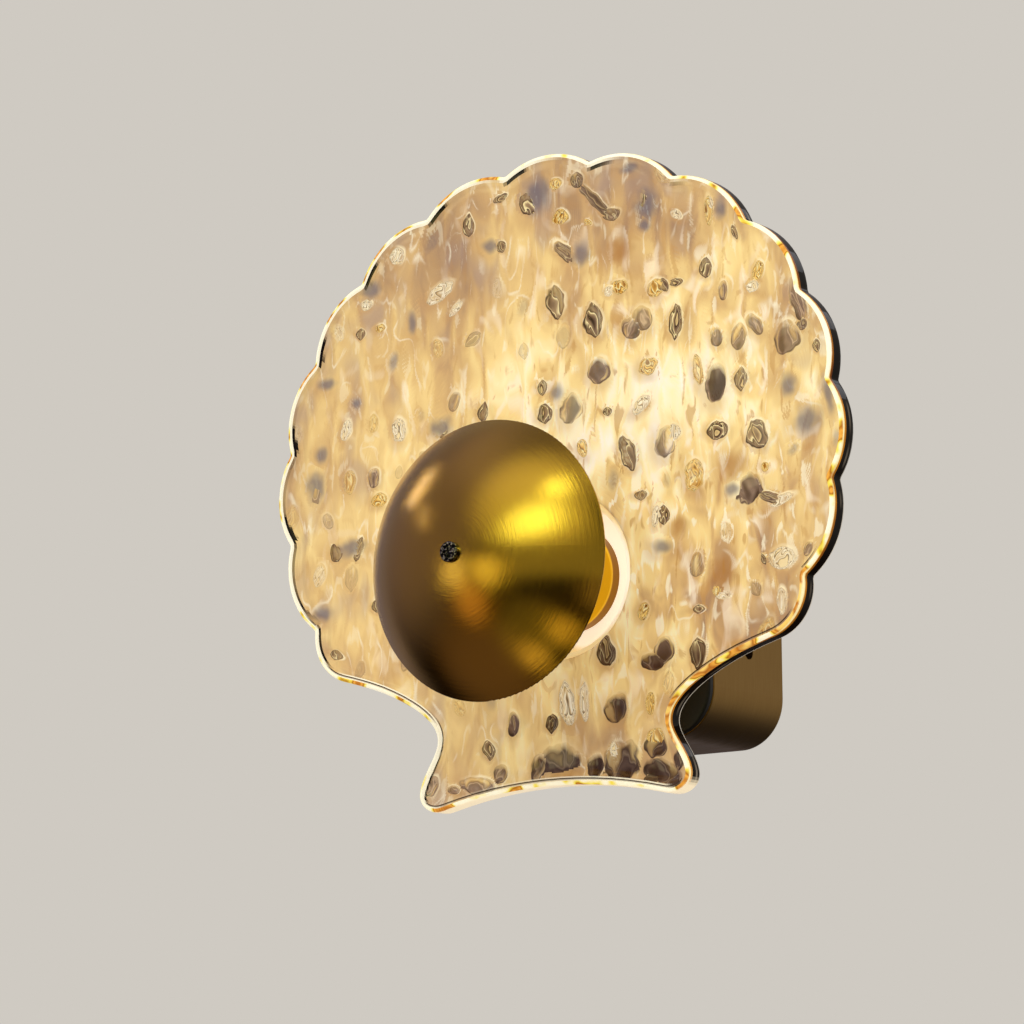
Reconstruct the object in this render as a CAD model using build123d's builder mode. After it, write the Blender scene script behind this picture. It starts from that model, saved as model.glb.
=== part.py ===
from build123d import *
import math
import os

# Plug-in night light: a clear scallop-shaped acrylic panel on a small brass-sleeved plug body,
# lit by a ring of LEDs behind a white cup, with a shallow brass dome held in front of them.
# Millimetres. The wall is the XZ plane at Y = 0, the lamp faces -Y and +Z is up.
# The origin lies on the wall, midway between the two plug blades.

# ---- plug body ----
axis_height = 11.4            # lamp axis above the blades
body_width = 53.0
body_height = 58.4
body_depth = 23.9             # wall to the front of the black cover
corner_radius = 8.6
sleeve_wall = 1.4
sleeve_edge_break = 0.3
rebate_width = 0.6            # step that the rear cover sits in
seat_gap = 0.1                # clearance round a piece that drops into a seat
front_thickness = 1.2
front_inset = 0.15            # the front cover is this much smaller than the sleeve
front_edge_radius = 0.5
lip_depth = 2.4
lip_wall = 1.2
rear_thickness = 2.4

# ---- cover screws and their posts ----
post_radius = 2.8
post_inset = 4.5              # post centre to the inside of the sleeve
pilot_radius = 0.9
screw_hole_gap = 0.3
screw_head_radius = 2.0
screw_head_height = 1.1
screw_length = 9.0

# ---- plug blades ----
blade_spacing = 12.7
blade_thickness = 1.5
live_width = 6.3
neutral_width = 7.9
blade_reach = 17.0            # wall to the blade's tip
blade_bevel = 1.4
blade_hole_radius = 1.6
blade_hole_place = 11.7       # wall to the hole's centre
shoulder_side = 1.5           # how far the shoulder stands out each side of the blade
shoulder_depth = 2.0
tail_width = 2.6
tail_proud = 1.4              # tail past the front of the driver board

# ---- driver board and what is on it ----
board_side_gap = 2.1          # board to the inside of the sleeve, left and right
board_end_gap = 2.8           # the same, above and below
board_thickness = 1.2
board_corner = 2.0
board_standoff = 5.2          # rear cover to the board
standoff_radius = 2.2
standoff_side = 8.0           # standoff to the board's side
standoff_end = 9.0            # standoff to the board's upper end
board_screw_radius = 1.0
board_screw_head = 1.9
board_screw_head_height = 1.2
board_screw_length = 3.8      # how far the screw goes into the standoff
upper, lower = 1, -1          # a place on the board is X, how far in from an end, and which end
bridge_size = (4.7, 6.5, 2.5)
bridge_place = (-16.0, 27.0, lower)
film_size = (13.0, 5.0, 9.0)
film_place = (-9.5, 4.5, lower)
electrolytic_radius = 4.0
electrolytic_length = 11.5
electrolytic_place = (6.5, 5.5, lower)
inductor_radius = 3.5
inductor_waist = 2.6
inductor_flange = 1.0
inductor_length = 8.0
inductor_place = (-17.0, 16.5, lower)
fuse_radius = 1.4
fuse_length = 8.0
fuse_place = (5.0, 14.0, upper)
chip_size = (4.9, 3.9, 1.6)
chip_place = (-5.0, 13.0, upper)
board_part_edge = 0.3         # rounding of the moulded parts on the board
can_edge = 0.6                # rounding of the capacitor's can
post_gap = 0.4                # clearance round the cover posts where they pass the board

# ---- slide switch, on the right-hand side ----
switch_height = 0.7           # middle of the slot, above the blades
switch_out = 11.2             # wall to the middle of the slot
switch_travel = 3.6
knob_thickness = 2.1          # across the slot
knob_length = 4.2             # along the slot
knob_proud = 1.3              # past the outside of the sleeve
knob_ridge_depth = 0.3
knob_ridge_width = 0.5
knob_ridge_count = 4
slot_gap = 0.25               # clearance round the knob in its slot
slider_thickness = 3.2
slider_length = 5.2
slider_depth = 1.5
switch_wall = 0.7
switch_depth = 5.4            # switch body, along X
switch_frame_thickness = 0.3
switch_frame_clearance = 0.4  # switch frame to the inside of the sleeve
slide_gap = 0.1

# ---- LED module ----
led_board_radius = 13.2
led_board_thickness = 0.8
led_ring_radius = 11.4
led_count = 12
led_size = (2.0, 1.6)
led_height = 0.5
cup_radius = 14.6
cup_wall = 0.9
cup_floor = 0.6
cup_floor_rise = 2.2          # front cover to the front of the cup's floor
cup_depth = 4.2               # inside the cup, floor to rim
cup_rim_radius = 0.3
cup_flange_radius = 19.0
cup_flange_thickness = 2.3
lead_radius = 0.45
lead_place = 8.0              # lead to the lamp axis
lead_gap = 0.15

# ---- acrylic panel ----
panel_shift = -2.45           # the scallop's centre line lies this far to the left of the lamp axis
panel_thickness = 4.0
panel_edge_radius = 0.7
gasket_thickness = 0.5
panel_hole_gap = 0.15
lobe_count = 13
lobe_pitch = 18.0             # degrees of the ellipse's parameter between two cusps
lobe_rise = 2.75              # crest above the line between its cusps
scallop_half_width = 58.6
scallop_half_height = 54.5
scallop_centre_height = 20.2  # above the lamp axis
cusp_radius = 0.6
shoulder_bulge = (50.5, -11.2)   # points below the lobes: X from the centre line, height from the axis
shoulder_end = (45.8, -14.4)
flank = (33.0, -19.0)
neck = (24.7, -27.0)
ankle = (27.7, -33.2)
foot = (28.6, -37.2)
toe = (23.4, -39.5)
arch = (0.0, -36.7)

# ---- stem and dome ----
stem_radius = 3.5
tail_radius = 3.0
tail_past_nut = 1.0
flange_radius = 9.4
flange_thickness = 2.4
flange_edge_radius = 0.3
nut_across_flats = 9.0
nut_thickness = 2.2
washer_radius = 5.6
washer_thickness = 0.6
dome_standoff = 28.7          # front cover to the dome's rim
dome_rim_radius = 24.7
dome_height = 10.9
dome_wall = 1.0
dome_rim_edge = 0.2
dome_screw_radius = 1.0
dome_screw_head_radius = 1.8
dome_screw_head_height = 0.9
dome_screw_length = 6.0
cross_width = 0.5
cross_length = 2.2
cross_depth = 0.5

os.makedirs("parts", exist_ok=True)


def lamp_plane(out):
    """Plane that faces the room at this distance from the wall, centred on the lamp axis."""
    return Plane(origin=(0, -out, axis_height), x_dir=(1, 0, 0), z_dir=(0, -1, 0))


def plug_plane(out):
    """Plane that faces the room at this distance from the wall, centred between the blades."""
    return Plane(origin=(0, -out, 0), x_dir=(1, 0, 0), z_dir=(0, -1, 0))


def save(part, label):
    part.label = label
    export_step(part, "parts/" + label + ".step")


# ---- sizes that follow from the ones above ----
inner_width = body_width - 2 * sleeve_wall
inner_height = body_height - 2 * sleeve_wall
inner_corner = corner_radius - sleeve_wall
cover_back = body_depth - front_thickness
post_x = inner_width / 2 - post_inset
post_z = inner_height / 2 - post_inset
board_width = inner_width - 2 * board_side_gap
board_height = inner_height - 2 * board_end_gap
standoff_x = board_width / 2 - standoff_side
standoff_z = board_height / 2 - standoff_end
board_back = rear_thickness + board_standoff
board_front = board_back + board_thickness
blade_sides = {"blade_neutral": (-1, neutral_width), "blade_live": (1, live_width)}
slot_width = knob_thickness + 2 * slot_gap
slot_length = knob_length + switch_travel + 2 * slot_gap
sleeve_inside = inner_width / 2
frame_front = sleeve_inside - switch_frame_clearance
frame_back = frame_front - switch_frame_thickness
switch_rise = switch_out - board_front
cup_floor_front = body_depth + cup_floor_rise
cup_front = cup_floor_front + cup_depth
gasket_back = body_depth + cup_flange_thickness
panel_back = gasket_back + gasket_thickness
flange_front = cup_floor_front + flange_thickness
tail_end = cover_back - washer_thickness - nut_thickness - tail_past_nut
dome_rim_out = body_depth + dome_standoff
dome_sphere = (dome_rim_radius ** 2 + dome_height ** 2) / (2 * dome_height)
dome_inside = dome_sphere - dome_wall
apex_out = dome_rim_out + dome_height
dome_centre_out = apex_out - dome_sphere
dome_inner_rim = math.sqrt(dome_inside ** 2 - (dome_rim_out - dome_centre_out) ** 2)
stem_end = dome_centre_out + math.sqrt(dome_inside ** 2 - stem_radius ** 2)
head_seat = dome_centre_out + math.sqrt(dome_sphere ** 2 - (dome_screw_head_radius + seat_gap) ** 2)
lamp_axis = Axis((0, 0, axis_height), (0, -1, 0))
turning_plane = Plane(origin=(0, 0, axis_height), x_dir=(1, 0, 0), z_dir=(0, 0, -1))


# ---- sleeve: a brass-finished tube, rebated at the back, slotted for the switch ----
with BuildPart() as body_sleeve:
    with BuildSketch(lamp_plane(0)):
        RectangleRounded(body_width, body_height, corner_radius)
    extrude(amount=cover_back)
    outer_rims = body_sleeve.faces().filter_by(Axis.Y).edges()
    fillet(outer_rims, sleeve_edge_break)
    with BuildSketch(lamp_plane(0)):
        RectangleRounded(inner_width, inner_height, inner_corner)
    extrude(amount=cover_back, mode=Mode.SUBTRACT)
    with BuildSketch(lamp_plane(0)):
        RectangleRounded(inner_width + 2 * rebate_width, inner_height + 2 * rebate_width,
                         inner_corner + rebate_width)
    extrude(amount=rear_thickness, mode=Mode.SUBTRACT)
    side_plane = Plane(origin=(0, -switch_out, switch_height), x_dir=(0, 0, 1), z_dir=(1, 0, 0))
    with BuildSketch(side_plane):
        SlotOverall(slot_length, slot_width)
    extrude(amount=body_width, mode=Mode.SUBTRACT)
save(body_sleeve.part, "body_sleeve")

# ---- rear cover: drops into the rebate, holds the blades and carries the board's standoffs ----
with BuildPart() as rear_cover:
    with BuildSketch(lamp_plane(0)):
        RectangleRounded(inner_width + 2 * (rebate_width - seat_gap),
                         inner_height + 2 * (rebate_width - seat_gap),
                         inner_corner + rebate_width - seat_gap)
    extrude(amount=rear_thickness)
    with BuildSketch(lamp_plane(rear_thickness)):
        with Locations((-standoff_x, standoff_z), (standoff_x, standoff_z)):
            Circle(standoff_radius)
    extrude(amount=board_standoff)
    with BuildSketch(lamp_plane(board_back)):
        with Locations((-standoff_x, standoff_z), (standoff_x, standoff_z)):
            Circle(board_screw_radius)
    extrude(amount=-board_screw_length, mode=Mode.SUBTRACT)
    with BuildSketch(plug_plane(0)):
        for side, width in blade_sides.values():
            with Locations((side * blade_spacing / 2, 0)):
                Rectangle(blade_thickness, width)
    extrude(amount=rear_thickness, mode=Mode.SUBTRACT)
    with BuildSketch(lamp_plane(0)):
        with GridLocations(2 * post_x, 2 * post_z, 2, 2):
            Circle(screw_head_radius + seat_gap)
    extrude(amount=screw_head_height, mode=Mode.SUBTRACT)
    with BuildSketch(lamp_plane(0)):
        with GridLocations(2 * post_x, 2 * post_z, 2, 2):
            Circle(pilot_radius + screw_hole_gap)
    extrude(amount=rear_thickness, mode=Mode.SUBTRACT)
save(rear_cover.part, "rear_cover")

# ---- front cover: black cap with a locating lip and four screw posts ----
with BuildPart() as front_cover:
    with BuildSketch(lamp_plane(cover_back)):
        RectangleRounded(body_width - 2 * front_inset, body_height - 2 * front_inset,
                         corner_radius - front_inset)
    extrude(amount=front_thickness)
    front_rim = front_cover.faces().sort_by(Axis.Y)[0].edges()
    fillet(front_rim, front_edge_radius)
    with BuildSketch(lamp_plane(cover_back)):
        RectangleRounded(inner_width - 2 * seat_gap, inner_height - 2 * seat_gap,
                         inner_corner - seat_gap)
        RectangleRounded(inner_width - 2 * (seat_gap + lip_wall),
                         inner_height - 2 * (seat_gap + lip_wall),
                         inner_corner - seat_gap - lip_wall, mode=Mode.SUBTRACT)
    extrude(amount=-lip_depth)
    with BuildSketch(lamp_plane(cover_back)):
        with GridLocations(2 * post_x, 2 * post_z, 2, 2):
            Circle(post_radius)
    extrude(amount=-(cover_back - rear_thickness))
    with BuildSketch(lamp_plane(rear_thickness)):
        with GridLocations(2 * post_x, 2 * post_z, 2, 2):
            Circle(pilot_radius)
    extrude(amount=screw_length, mode=Mode.SUBTRACT)
    with BuildSketch(lamp_plane(body_depth)):
        Circle(tail_radius + seat_gap)
        with Locations((-lead_place, 0), (lead_place, 0)):
            Circle(lead_radius + lead_gap)
    extrude(amount=-front_thickness, mode=Mode.SUBTRACT)
save(front_cover.part, "front_cover")

# ---- four pan-head screws from the back ----
with BuildPart() as cover_screws:
    with BuildSketch(lamp_plane(0)):
        with GridLocations(2 * post_x, 2 * post_z, 2, 2):
            Circle(screw_head_radius)
    extrude(amount=screw_head_height)
    with BuildSketch(lamp_plane(screw_head_height)):
        with GridLocations(2 * post_x, 2 * post_z, 2, 2):
            Circle(pilot_radius)
    extrude(amount=screw_length - screw_head_height)
    with BuildSketch(lamp_plane(0)):
        with GridLocations(2 * post_x, 2 * post_z, 2, 2):
            Rectangle(cross_length, cross_width)
            Rectangle(cross_width, cross_length)
    extrude(amount=cross_depth, mode=Mode.SUBTRACT)
save(cover_screws.part, "cover_screws")

# ---- blades: polarised pair, each with a shoulder behind the cover and a tail to the board ----
for label, (side, width) in blade_sides.items():
    blade_x = side * blade_spacing / 2
    edge_plane = Plane(origin=(blade_x, 0, 0), x_dir=(0, 1, 0), z_dir=(1, 0, 0))
    shoulder_out = rear_thickness + shoulder_depth
    tail_out = board_front + tail_proud
    with BuildPart() as blade:
        with BuildSketch(edge_plane):
            with BuildLine():
                Polyline(
                    (-tail_out, tail_width / 2),
                    (-shoulder_out, tail_width / 2),
                    (-shoulder_out, width / 2 + shoulder_side),
                    (-rear_thickness, width / 2 + shoulder_side),
                    (-rear_thickness, width / 2),
                    (blade_reach - blade_bevel, width / 2),
                    (blade_reach, width / 2 - blade_bevel),
                    (blade_reach, 0),
                    (-tail_out, 0),
                    close=True)
            make_face()
            mirror(about=Plane.XZ)
            with Locations((blade_hole_place, 0)):
                Circle(blade_hole_radius, mode=Mode.SUBTRACT)
        extrude(amount=blade_thickness / 2, both=True)
        tip_edges = blade.edges().group_by(Axis.Y)[-1].filter_by(Axis.Z)
        chamfer(tip_edges, blade_thickness / 4)
    save(blade.part, label)

# ---- driver board, cut round the cover posts and the blades' tails ----
with BuildPart() as driver_board:
    with BuildSketch(lamp_plane(board_back)):
        RectangleRounded(board_width, board_height, board_corner)
        with GridLocations(2 * post_x, 2 * post_z, 2, 2):
            Circle(post_radius + post_gap, mode=Mode.SUBTRACT)
        with Locations((-standoff_x, standoff_z), (standoff_x, standoff_z)):
            Circle(board_screw_radius + seat_gap, mode=Mode.SUBTRACT)
        with Locations((-blade_spacing / 2, -axis_height), (blade_spacing / 2, -axis_height)):
            Rectangle(blade_thickness + seat_gap, tail_width + seat_gap, mode=Mode.SUBTRACT)
    extrude(amount=board_thickness)
save(driver_board.part, "driver_board")

with BuildPart() as board_screws:
    with BuildSketch(lamp_plane(board_front)):
        with Locations((-standoff_x, standoff_z), (standoff_x, standoff_z)):
            Circle(board_screw_head)
    extrude(amount=board_screw_head_height)
    with BuildSketch(lamp_plane(board_front)):
        with Locations((-standoff_x, standoff_z), (standoff_x, standoff_z)):
            Circle(board_screw_radius)
    extrude(amount=-(board_thickness + board_screw_length))
save(board_screws.part, "board_screws")


def on_board(place):
    """X and height from the lamp axis of a place on the board."""
    x, inset, end = place
    return (x, end * (board_height / 2 - inset))


def board_block(size, place, label):
    """A moulded part that stands on the driver board: width, height and how far it stands out."""
    width, height, rise = size
    with BuildPart() as block:
        with BuildSketch(lamp_plane(board_front)):
            with Locations(on_board(place)):
                Rectangle(width, height)
        extrude(amount=rise)
        outer_face = block.faces().sort_by(Axis.Y)[0]
        fillet(outer_face.edges() + block.edges().filter_by(Axis.Y), board_part_edge)
    save(block.part, label)


board_block(bridge_size, bridge_place, "bridge_rectifier")
board_block(film_size, film_place, "film_capacitor")
board_block(chip_size, chip_place, "driver_chip")

with BuildPart() as electrolytic_capacitor:
    with BuildSketch(lamp_plane(board_front)):
        with Locations(on_board(electrolytic_place)):
            Circle(electrolytic_radius)
    extrude(amount=electrolytic_length)
    can_top = electrolytic_capacitor.faces().sort_by(Axis.Y)[0]
    fillet(can_top.edges(), can_edge)
save(electrolytic_capacitor.part, "electrolytic_capacitor")

with BuildPart() as inductor:
    with BuildSketch(lamp_plane(board_front)):
        with Locations(on_board(inductor_place)):
            Circle(inductor_radius)
    extrude(amount=inductor_length)
    with BuildSketch(lamp_plane(board_front + inductor_flange)):
        with Locations(on_board(inductor_place)):
            Circle(inductor_radius)
            Circle(inductor_waist, mode=Mode.SUBTRACT)
    extrude(amount=inductor_length - 2 * inductor_flange, mode=Mode.SUBTRACT)
save(inductor.part, "inductor")

with BuildPart() as fuse_resistor:
    fuse_x, fuse_z = on_board(fuse_place)
    fuse_start = Plane(origin=(fuse_x - fuse_length / 2, -(board_front + fuse_radius),
                               axis_height + fuse_z), z_dir=(1, 0, 0))
    with BuildSketch(fuse_start):
        Circle(fuse_radius)
    extrude(amount=fuse_length)
    fillet(fuse_resistor.edges(), board_part_edge)
save(fuse_resistor.part, "fuse_resistor")

# ---- slide switch: housing on the board, steel frame, and the knob that slides in it ----
slider_channel = slider_length + switch_travel + 2 * slide_gap
switch_length = slider_channel + 2 * switch_wall
slider_back = frame_back - slider_depth - slide_gap
with BuildPart() as switch_body:
    with BuildSketch(Plane(origin=(frame_back, -switch_out, switch_height),
                           x_dir=(0, 0, 1), z_dir=(-1, 0, 0))):
        Rectangle(switch_length, 2 * switch_rise)
    extrude(amount=switch_depth)
    with BuildSketch(Plane(origin=(frame_back, -switch_out, switch_height),
                           x_dir=(0, 0, 1), z_dir=(-1, 0, 0))):
        Rectangle(slider_channel, slider_thickness + 2 * slide_gap)
    extrude(amount=slider_depth + 2 * slide_gap, mode=Mode.SUBTRACT)
save(switch_body.part, "switch_body")

with BuildPart() as switch_frame:
    with BuildSketch(Plane(origin=(frame_back, -switch_out, switch_height),
                           x_dir=(0, 0, 1), z_dir=(1, 0, 0))):
        Rectangle(switch_length, 2 * switch_rise)
        SlotOverall(slot_length, slot_width, mode=Mode.SUBTRACT)
    extrude(amount=switch_frame_thickness)
save(switch_frame.part, "switch_frame")

knob_height = switch_height + switch_travel / 2
with BuildPart() as switch_knob:
    with BuildSketch(Plane(origin=(slider_back, -switch_out, knob_height),
                           x_dir=(0, 0, 1), z_dir=(1, 0, 0))):
        Rectangle(slider_length, slider_thickness)
    extrude(amount=slider_depth)
    with BuildSketch(Plane(origin=(slider_back + slider_depth, -switch_out, knob_height),
                           x_dir=(0, 0, 1), z_dir=(1, 0, 0))):
        SlotOverall(knob_length, knob_thickness)
    extrude(amount=body_width / 2 + knob_proud - slider_back - slider_depth)
    with BuildSketch(Plane(origin=(body_width / 2 + knob_proud, -switch_out, knob_height),
                           x_dir=(0, 0, 1), z_dir=(1, 0, 0))):
        with GridLocations(2 * knob_ridge_width, 1, knob_ridge_count, 1):
            Rectangle(knob_ridge_width, 2 * knob_thickness)
    extrude(amount=-knob_ridge_depth, mode=Mode.SUBTRACT)
save(switch_knob.part, "switch_knob")

# ---- LED module: round board, its chips and two leads from the driver ----
with BuildPart() as led_board:
    with BuildSketch(lamp_plane(body_depth)):
        Circle(led_board_radius)
        Circle(tail_radius + seat_gap, mode=Mode.SUBTRACT)
    extrude(amount=led_board_thickness)
save(led_board.part, "led_board")

with BuildPart() as led_chips:
    with BuildSketch(lamp_plane(body_depth + led_board_thickness)):
        with PolarLocations(led_ring_radius, led_count):
            Rectangle(*led_size)
    extrude(amount=led_height)
save(led_chips.part, "led_chips")

with BuildPart() as led_leads:
    with BuildSketch(lamp_plane(board_front)):
        with Locations((-lead_place, 0), (lead_place, 0)):
            Circle(lead_radius)
    extrude(amount=body_depth - board_front)
save(led_leads.part, "led_leads")

# ---- diffuser: white cup with a flange, its rim standing in the panel's hole ----
with BuildPart() as led_diffuser:
    with BuildSketch(lamp_plane(body_depth)):
        Circle(cup_flange_radius)
    extrude(amount=cup_flange_thickness)
    with BuildSketch(lamp_plane(body_depth)):
        Circle(cup_radius)
    extrude(amount=cup_front - body_depth)
    with BuildSketch(lamp_plane(cup_front)):
        Circle(cup_radius - cup_wall)
    extrude(amount=-(cup_front - cup_floor_front), mode=Mode.SUBTRACT)
    with BuildSketch(lamp_plane(body_depth)):
        Circle(cup_radius - cup_wall)
    extrude(amount=cup_floor_front - cup_floor - body_depth, mode=Mode.SUBTRACT)
    with BuildSketch(lamp_plane(body_depth)):
        Circle(tail_radius + seat_gap)
    extrude(amount=cup_front - body_depth, mode=Mode.SUBTRACT)
    rim_edges = led_diffuser.edges().group_by(Axis.Y)[0]
    fillet(rim_edges, cup_rim_radius)
save(led_diffuser.part, "led_diffuser")

with BuildPart() as panel_gasket:
    with BuildSketch(lamp_plane(gasket_back)):
        Circle(cup_flange_radius)
        Circle(cup_radius + panel_hole_gap, mode=Mode.SUBTRACT)
    extrude(amount=gasket_thickness)
save(panel_gasket.part, "panel_gasket")


# ---- acrylic panel ----
def ellipse_point(turn, grow=0.0):
    """Point on the scallop's ellipse, turn degrees from the top; grow moves it outwards."""
    across = math.sin(math.radians(turn))
    up = math.cos(math.radians(turn))
    return (panel_shift + (scallop_half_width + grow) * across,
            scallop_centre_height + (scallop_half_height + grow) * up)


def outline_point(point, side):
    x, z = point
    return (panel_shift + side * x, z)


cusp_sag = scallop_half_height * (1 - math.cos(math.radians(lobe_pitch / 2)))
last_turn = lobe_count * lobe_pitch / 2
lower_edge = (shoulder_end, flank, neck, ankle, foot, toe)
with BuildPart() as shell_panel:
    with BuildSketch(lamp_plane(panel_back)):
        with BuildLine():
            for lobe in range(lobe_count):
                start = lobe * lobe_pitch - last_turn
                ThreePointArc(ellipse_point(start),
                              ellipse_point(start + lobe_pitch / 2, lobe_rise - cusp_sag),
                              ellipse_point(start + lobe_pitch))
            base = ThreePointArc(outline_point(toe, -1), outline_point(arch, 1),
                                 outline_point(toe, 1))
            for side, toe_direction in ((-1, base % 0), (1, -(base % 1))):
                half_lobe = ThreePointArc(ellipse_point(side * last_turn),
                                          outline_point(shoulder_bulge, side),
                                          outline_point(shoulder_end, side))
                Spline(*[outline_point(point, side) for point in lower_edge],
                       tangents=[half_lobe % 1, toe_direction])
        make_face()
        Circle(cup_radius + panel_hole_gap, mode=Mode.SUBTRACT)
    extrude(amount=panel_thickness)
    corner_edges = shell_panel.edges().filter_by(Axis.Y).filter_by(GeomType.LINE)
    cusp_level = axis_height + ellipse_point(last_turn)[1] - cusp_radius
    cusp_edges = corner_edges.filter_by(lambda edge: edge.center().Z > cusp_level)
    fillet(cusp_edges, cusp_radius)
    panel_faces = shell_panel.faces().filter_by(Axis.Y)
    fillet(panel_faces.wires().sort_by(Wire.length)[-2:].edges(), panel_edge_radius)
save(shell_panel.part, "shell_panel")

# ---- stem: gold flange on the cup's floor, rod, washer and nut behind the front cover ----
with BuildPart() as stem_flange:
    with BuildSketch(lamp_plane(cup_floor_front)):
        Circle(flange_radius)
        Circle(tail_radius + seat_gap, mode=Mode.SUBTRACT)
    extrude(amount=flange_thickness)
    front_edges = stem_flange.edges().group_by(Axis.Y)[0].sort_by(SortBy.RADIUS)[-1]
    fillet(front_edges, flange_edge_radius)
save(stem_flange.part, "stem_flange")

with BuildPart() as dome_stem:
    with BuildSketch(turning_plane):
        with BuildLine():
            Polyline((0, tail_end), (tail_radius, tail_end), (tail_radius, flange_front),
                     (stem_radius, flange_front), (stem_radius, stem_end), (0, stem_end),
                     close=True)
        make_face()
    revolve(axis=lamp_axis)
    with BuildSketch(lamp_plane(apex_out)):
        Circle(dome_screw_radius)
    extrude(amount=-(dome_screw_length + dome_wall), mode=Mode.SUBTRACT)
save(dome_stem.part, "dome_stem")

with BuildPart() as stem_washer:
    with BuildSketch(lamp_plane(cover_back)):
        Circle(washer_radius)
        Circle(tail_radius + seat_gap, mode=Mode.SUBTRACT)
    extrude(amount=-washer_thickness)
save(stem_washer.part, "stem_washer")

with BuildPart() as stem_nut:
    with BuildSketch(lamp_plane(cover_back - washer_thickness)):
        RegularPolygon(nut_across_flats / 2, 6, major_radius=False)
        Circle(tail_radius, mode=Mode.SUBTRACT)
    extrude(amount=-nut_thickness)
save(stem_nut.part, "stem_nut")

# ---- dome: spun brass cap, and the screw that holds it ----
with BuildPart() as dome_shade:
    with BuildSketch(turning_plane) as dome_profile:
        with BuildLine():
            RadiusArc((dome_rim_radius, dome_rim_out), (0, apex_out), -dome_sphere)
            Line((0, apex_out), (0, apex_out - dome_wall))
            RadiusArc((0, apex_out - dome_wall), (dome_inner_rim, dome_rim_out), dome_inside)
            Line((dome_inner_rim, dome_rim_out), (dome_rim_radius, dome_rim_out))
        make_face()
        rim_corners = dome_profile.vertices().sort_by(Axis.Y)[:2]
        fillet(rim_corners, dome_rim_edge)
    revolve(axis=lamp_axis)
    with BuildSketch(lamp_plane(head_seat)):
        Circle(dome_screw_head_radius + seat_gap)
    extrude(amount=dome_height, mode=Mode.SUBTRACT)
    with BuildSketch(lamp_plane(apex_out)):
        Circle(dome_screw_radius + seat_gap)
    extrude(amount=-2 * dome_wall, mode=Mode.SUBTRACT)
save(dome_shade.part, "dome_shade")

with BuildPart() as dome_screw:
    with BuildSketch(lamp_plane(head_seat)):
        Circle(dome_screw_head_radius)
    extrude(amount=dome_screw_head_height)
    head_edge = dome_screw.edges().group_by(Axis.Y)[0]
    fillet(head_edge, dome_screw_head_height / 3)
    with BuildSketch(lamp_plane(head_seat)):
        Circle(dome_screw_radius)
    extrude(amount=-dome_screw_length)
    with BuildSketch(lamp_plane(head_seat + dome_screw_head_height)):
        Rectangle(cross_length, cross_width)
        Rectangle(cross_width, cross_length)
    extrude(amount=-cross_depth, mode=Mode.SUBTRACT)
save(dome_screw.part, "dome_screw")
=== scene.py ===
import math
from functools import partial

import bpy
import numpy as np
from mathutils import Matrix, Vector


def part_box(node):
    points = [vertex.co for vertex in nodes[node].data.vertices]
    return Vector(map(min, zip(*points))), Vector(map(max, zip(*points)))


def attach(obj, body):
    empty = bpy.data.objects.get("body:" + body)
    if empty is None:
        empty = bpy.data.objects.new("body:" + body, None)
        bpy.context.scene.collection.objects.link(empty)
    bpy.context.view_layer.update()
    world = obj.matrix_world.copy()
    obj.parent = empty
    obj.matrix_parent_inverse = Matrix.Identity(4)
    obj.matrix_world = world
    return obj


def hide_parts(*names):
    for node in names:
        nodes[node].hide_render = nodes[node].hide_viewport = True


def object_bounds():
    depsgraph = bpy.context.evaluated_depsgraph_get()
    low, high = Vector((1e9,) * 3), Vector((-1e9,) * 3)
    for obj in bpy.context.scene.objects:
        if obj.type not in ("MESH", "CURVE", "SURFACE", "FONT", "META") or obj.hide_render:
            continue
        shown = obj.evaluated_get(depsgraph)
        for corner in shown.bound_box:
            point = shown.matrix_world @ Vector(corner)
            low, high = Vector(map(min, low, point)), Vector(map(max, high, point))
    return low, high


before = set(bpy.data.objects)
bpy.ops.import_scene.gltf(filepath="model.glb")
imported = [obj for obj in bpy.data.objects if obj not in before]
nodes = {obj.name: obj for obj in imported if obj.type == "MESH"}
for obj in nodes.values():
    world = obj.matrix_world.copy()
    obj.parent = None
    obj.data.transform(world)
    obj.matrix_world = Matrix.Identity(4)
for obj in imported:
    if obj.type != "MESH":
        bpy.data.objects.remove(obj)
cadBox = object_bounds()
mm = 0.001
print("frame loaded:", len(nodes), "nodes")


def linear(hexColour):
    # an sRGB hex colour as linear red, green, blue and alpha
    channels = [int(hexColour[i:i + 2], 16) / 255 for i in (1, 3, 5)]
    return [c / 12.92 if c <= 0.04045 else ((c + 0.055) / 1.055) ** 2.4 for c in channels] + [1.0]


def addNode(tree, kind, inputs=(), stops=(), out=0, **settings):
    # adds one shader node: settings go on the node. Its inputs, by name or number or in a row from the
    # first, each get a value, an sRGB hex colour or another node's output. stops are the places and
    # colours of a colour ramp. What comes back is the node's first output, or the one that out names,
    # or all of them where out is None
    node = tree.nodes.new("ShaderNode" + kind)
    for name, value in settings.items():
        setattr(node, name, value)
    for name, value in inputs.items() if isinstance(inputs, dict) else enumerate(inputs):
        if isinstance(value, bpy.types.NodeSocket):
            tree.links.new(value, node.inputs[name])
        else:
            node.inputs[name].default_value = linear(value) if isinstance(value, str) else value
    if stops:
        ramp = node.color_ramp
        while len(ramp.elements) < len(stops):
            ramp.elements.new(1.0)
        for element, (place, colour) in zip(ramp.elements, stops):
            element.position = place
            element.color = linear(colour)
    return node.outputs if out is None else node.outputs[out]


def newMaterial(name):
    # an empty node material, addNode for its own tree, and Object coordinates in millimetres to hang
    # its patterns on
    material = bpy.data.materials.new(name)
    material.use_nodes = True
    material.node_tree.nodes.clear()
    add = partial(addNode, material.node_tree)
    metres = add("TexCoord", out="Object")
    return material, add, add("VectorMath", {0: metres, "Scale": 1 / mm}, operation="SCALE")


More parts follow.
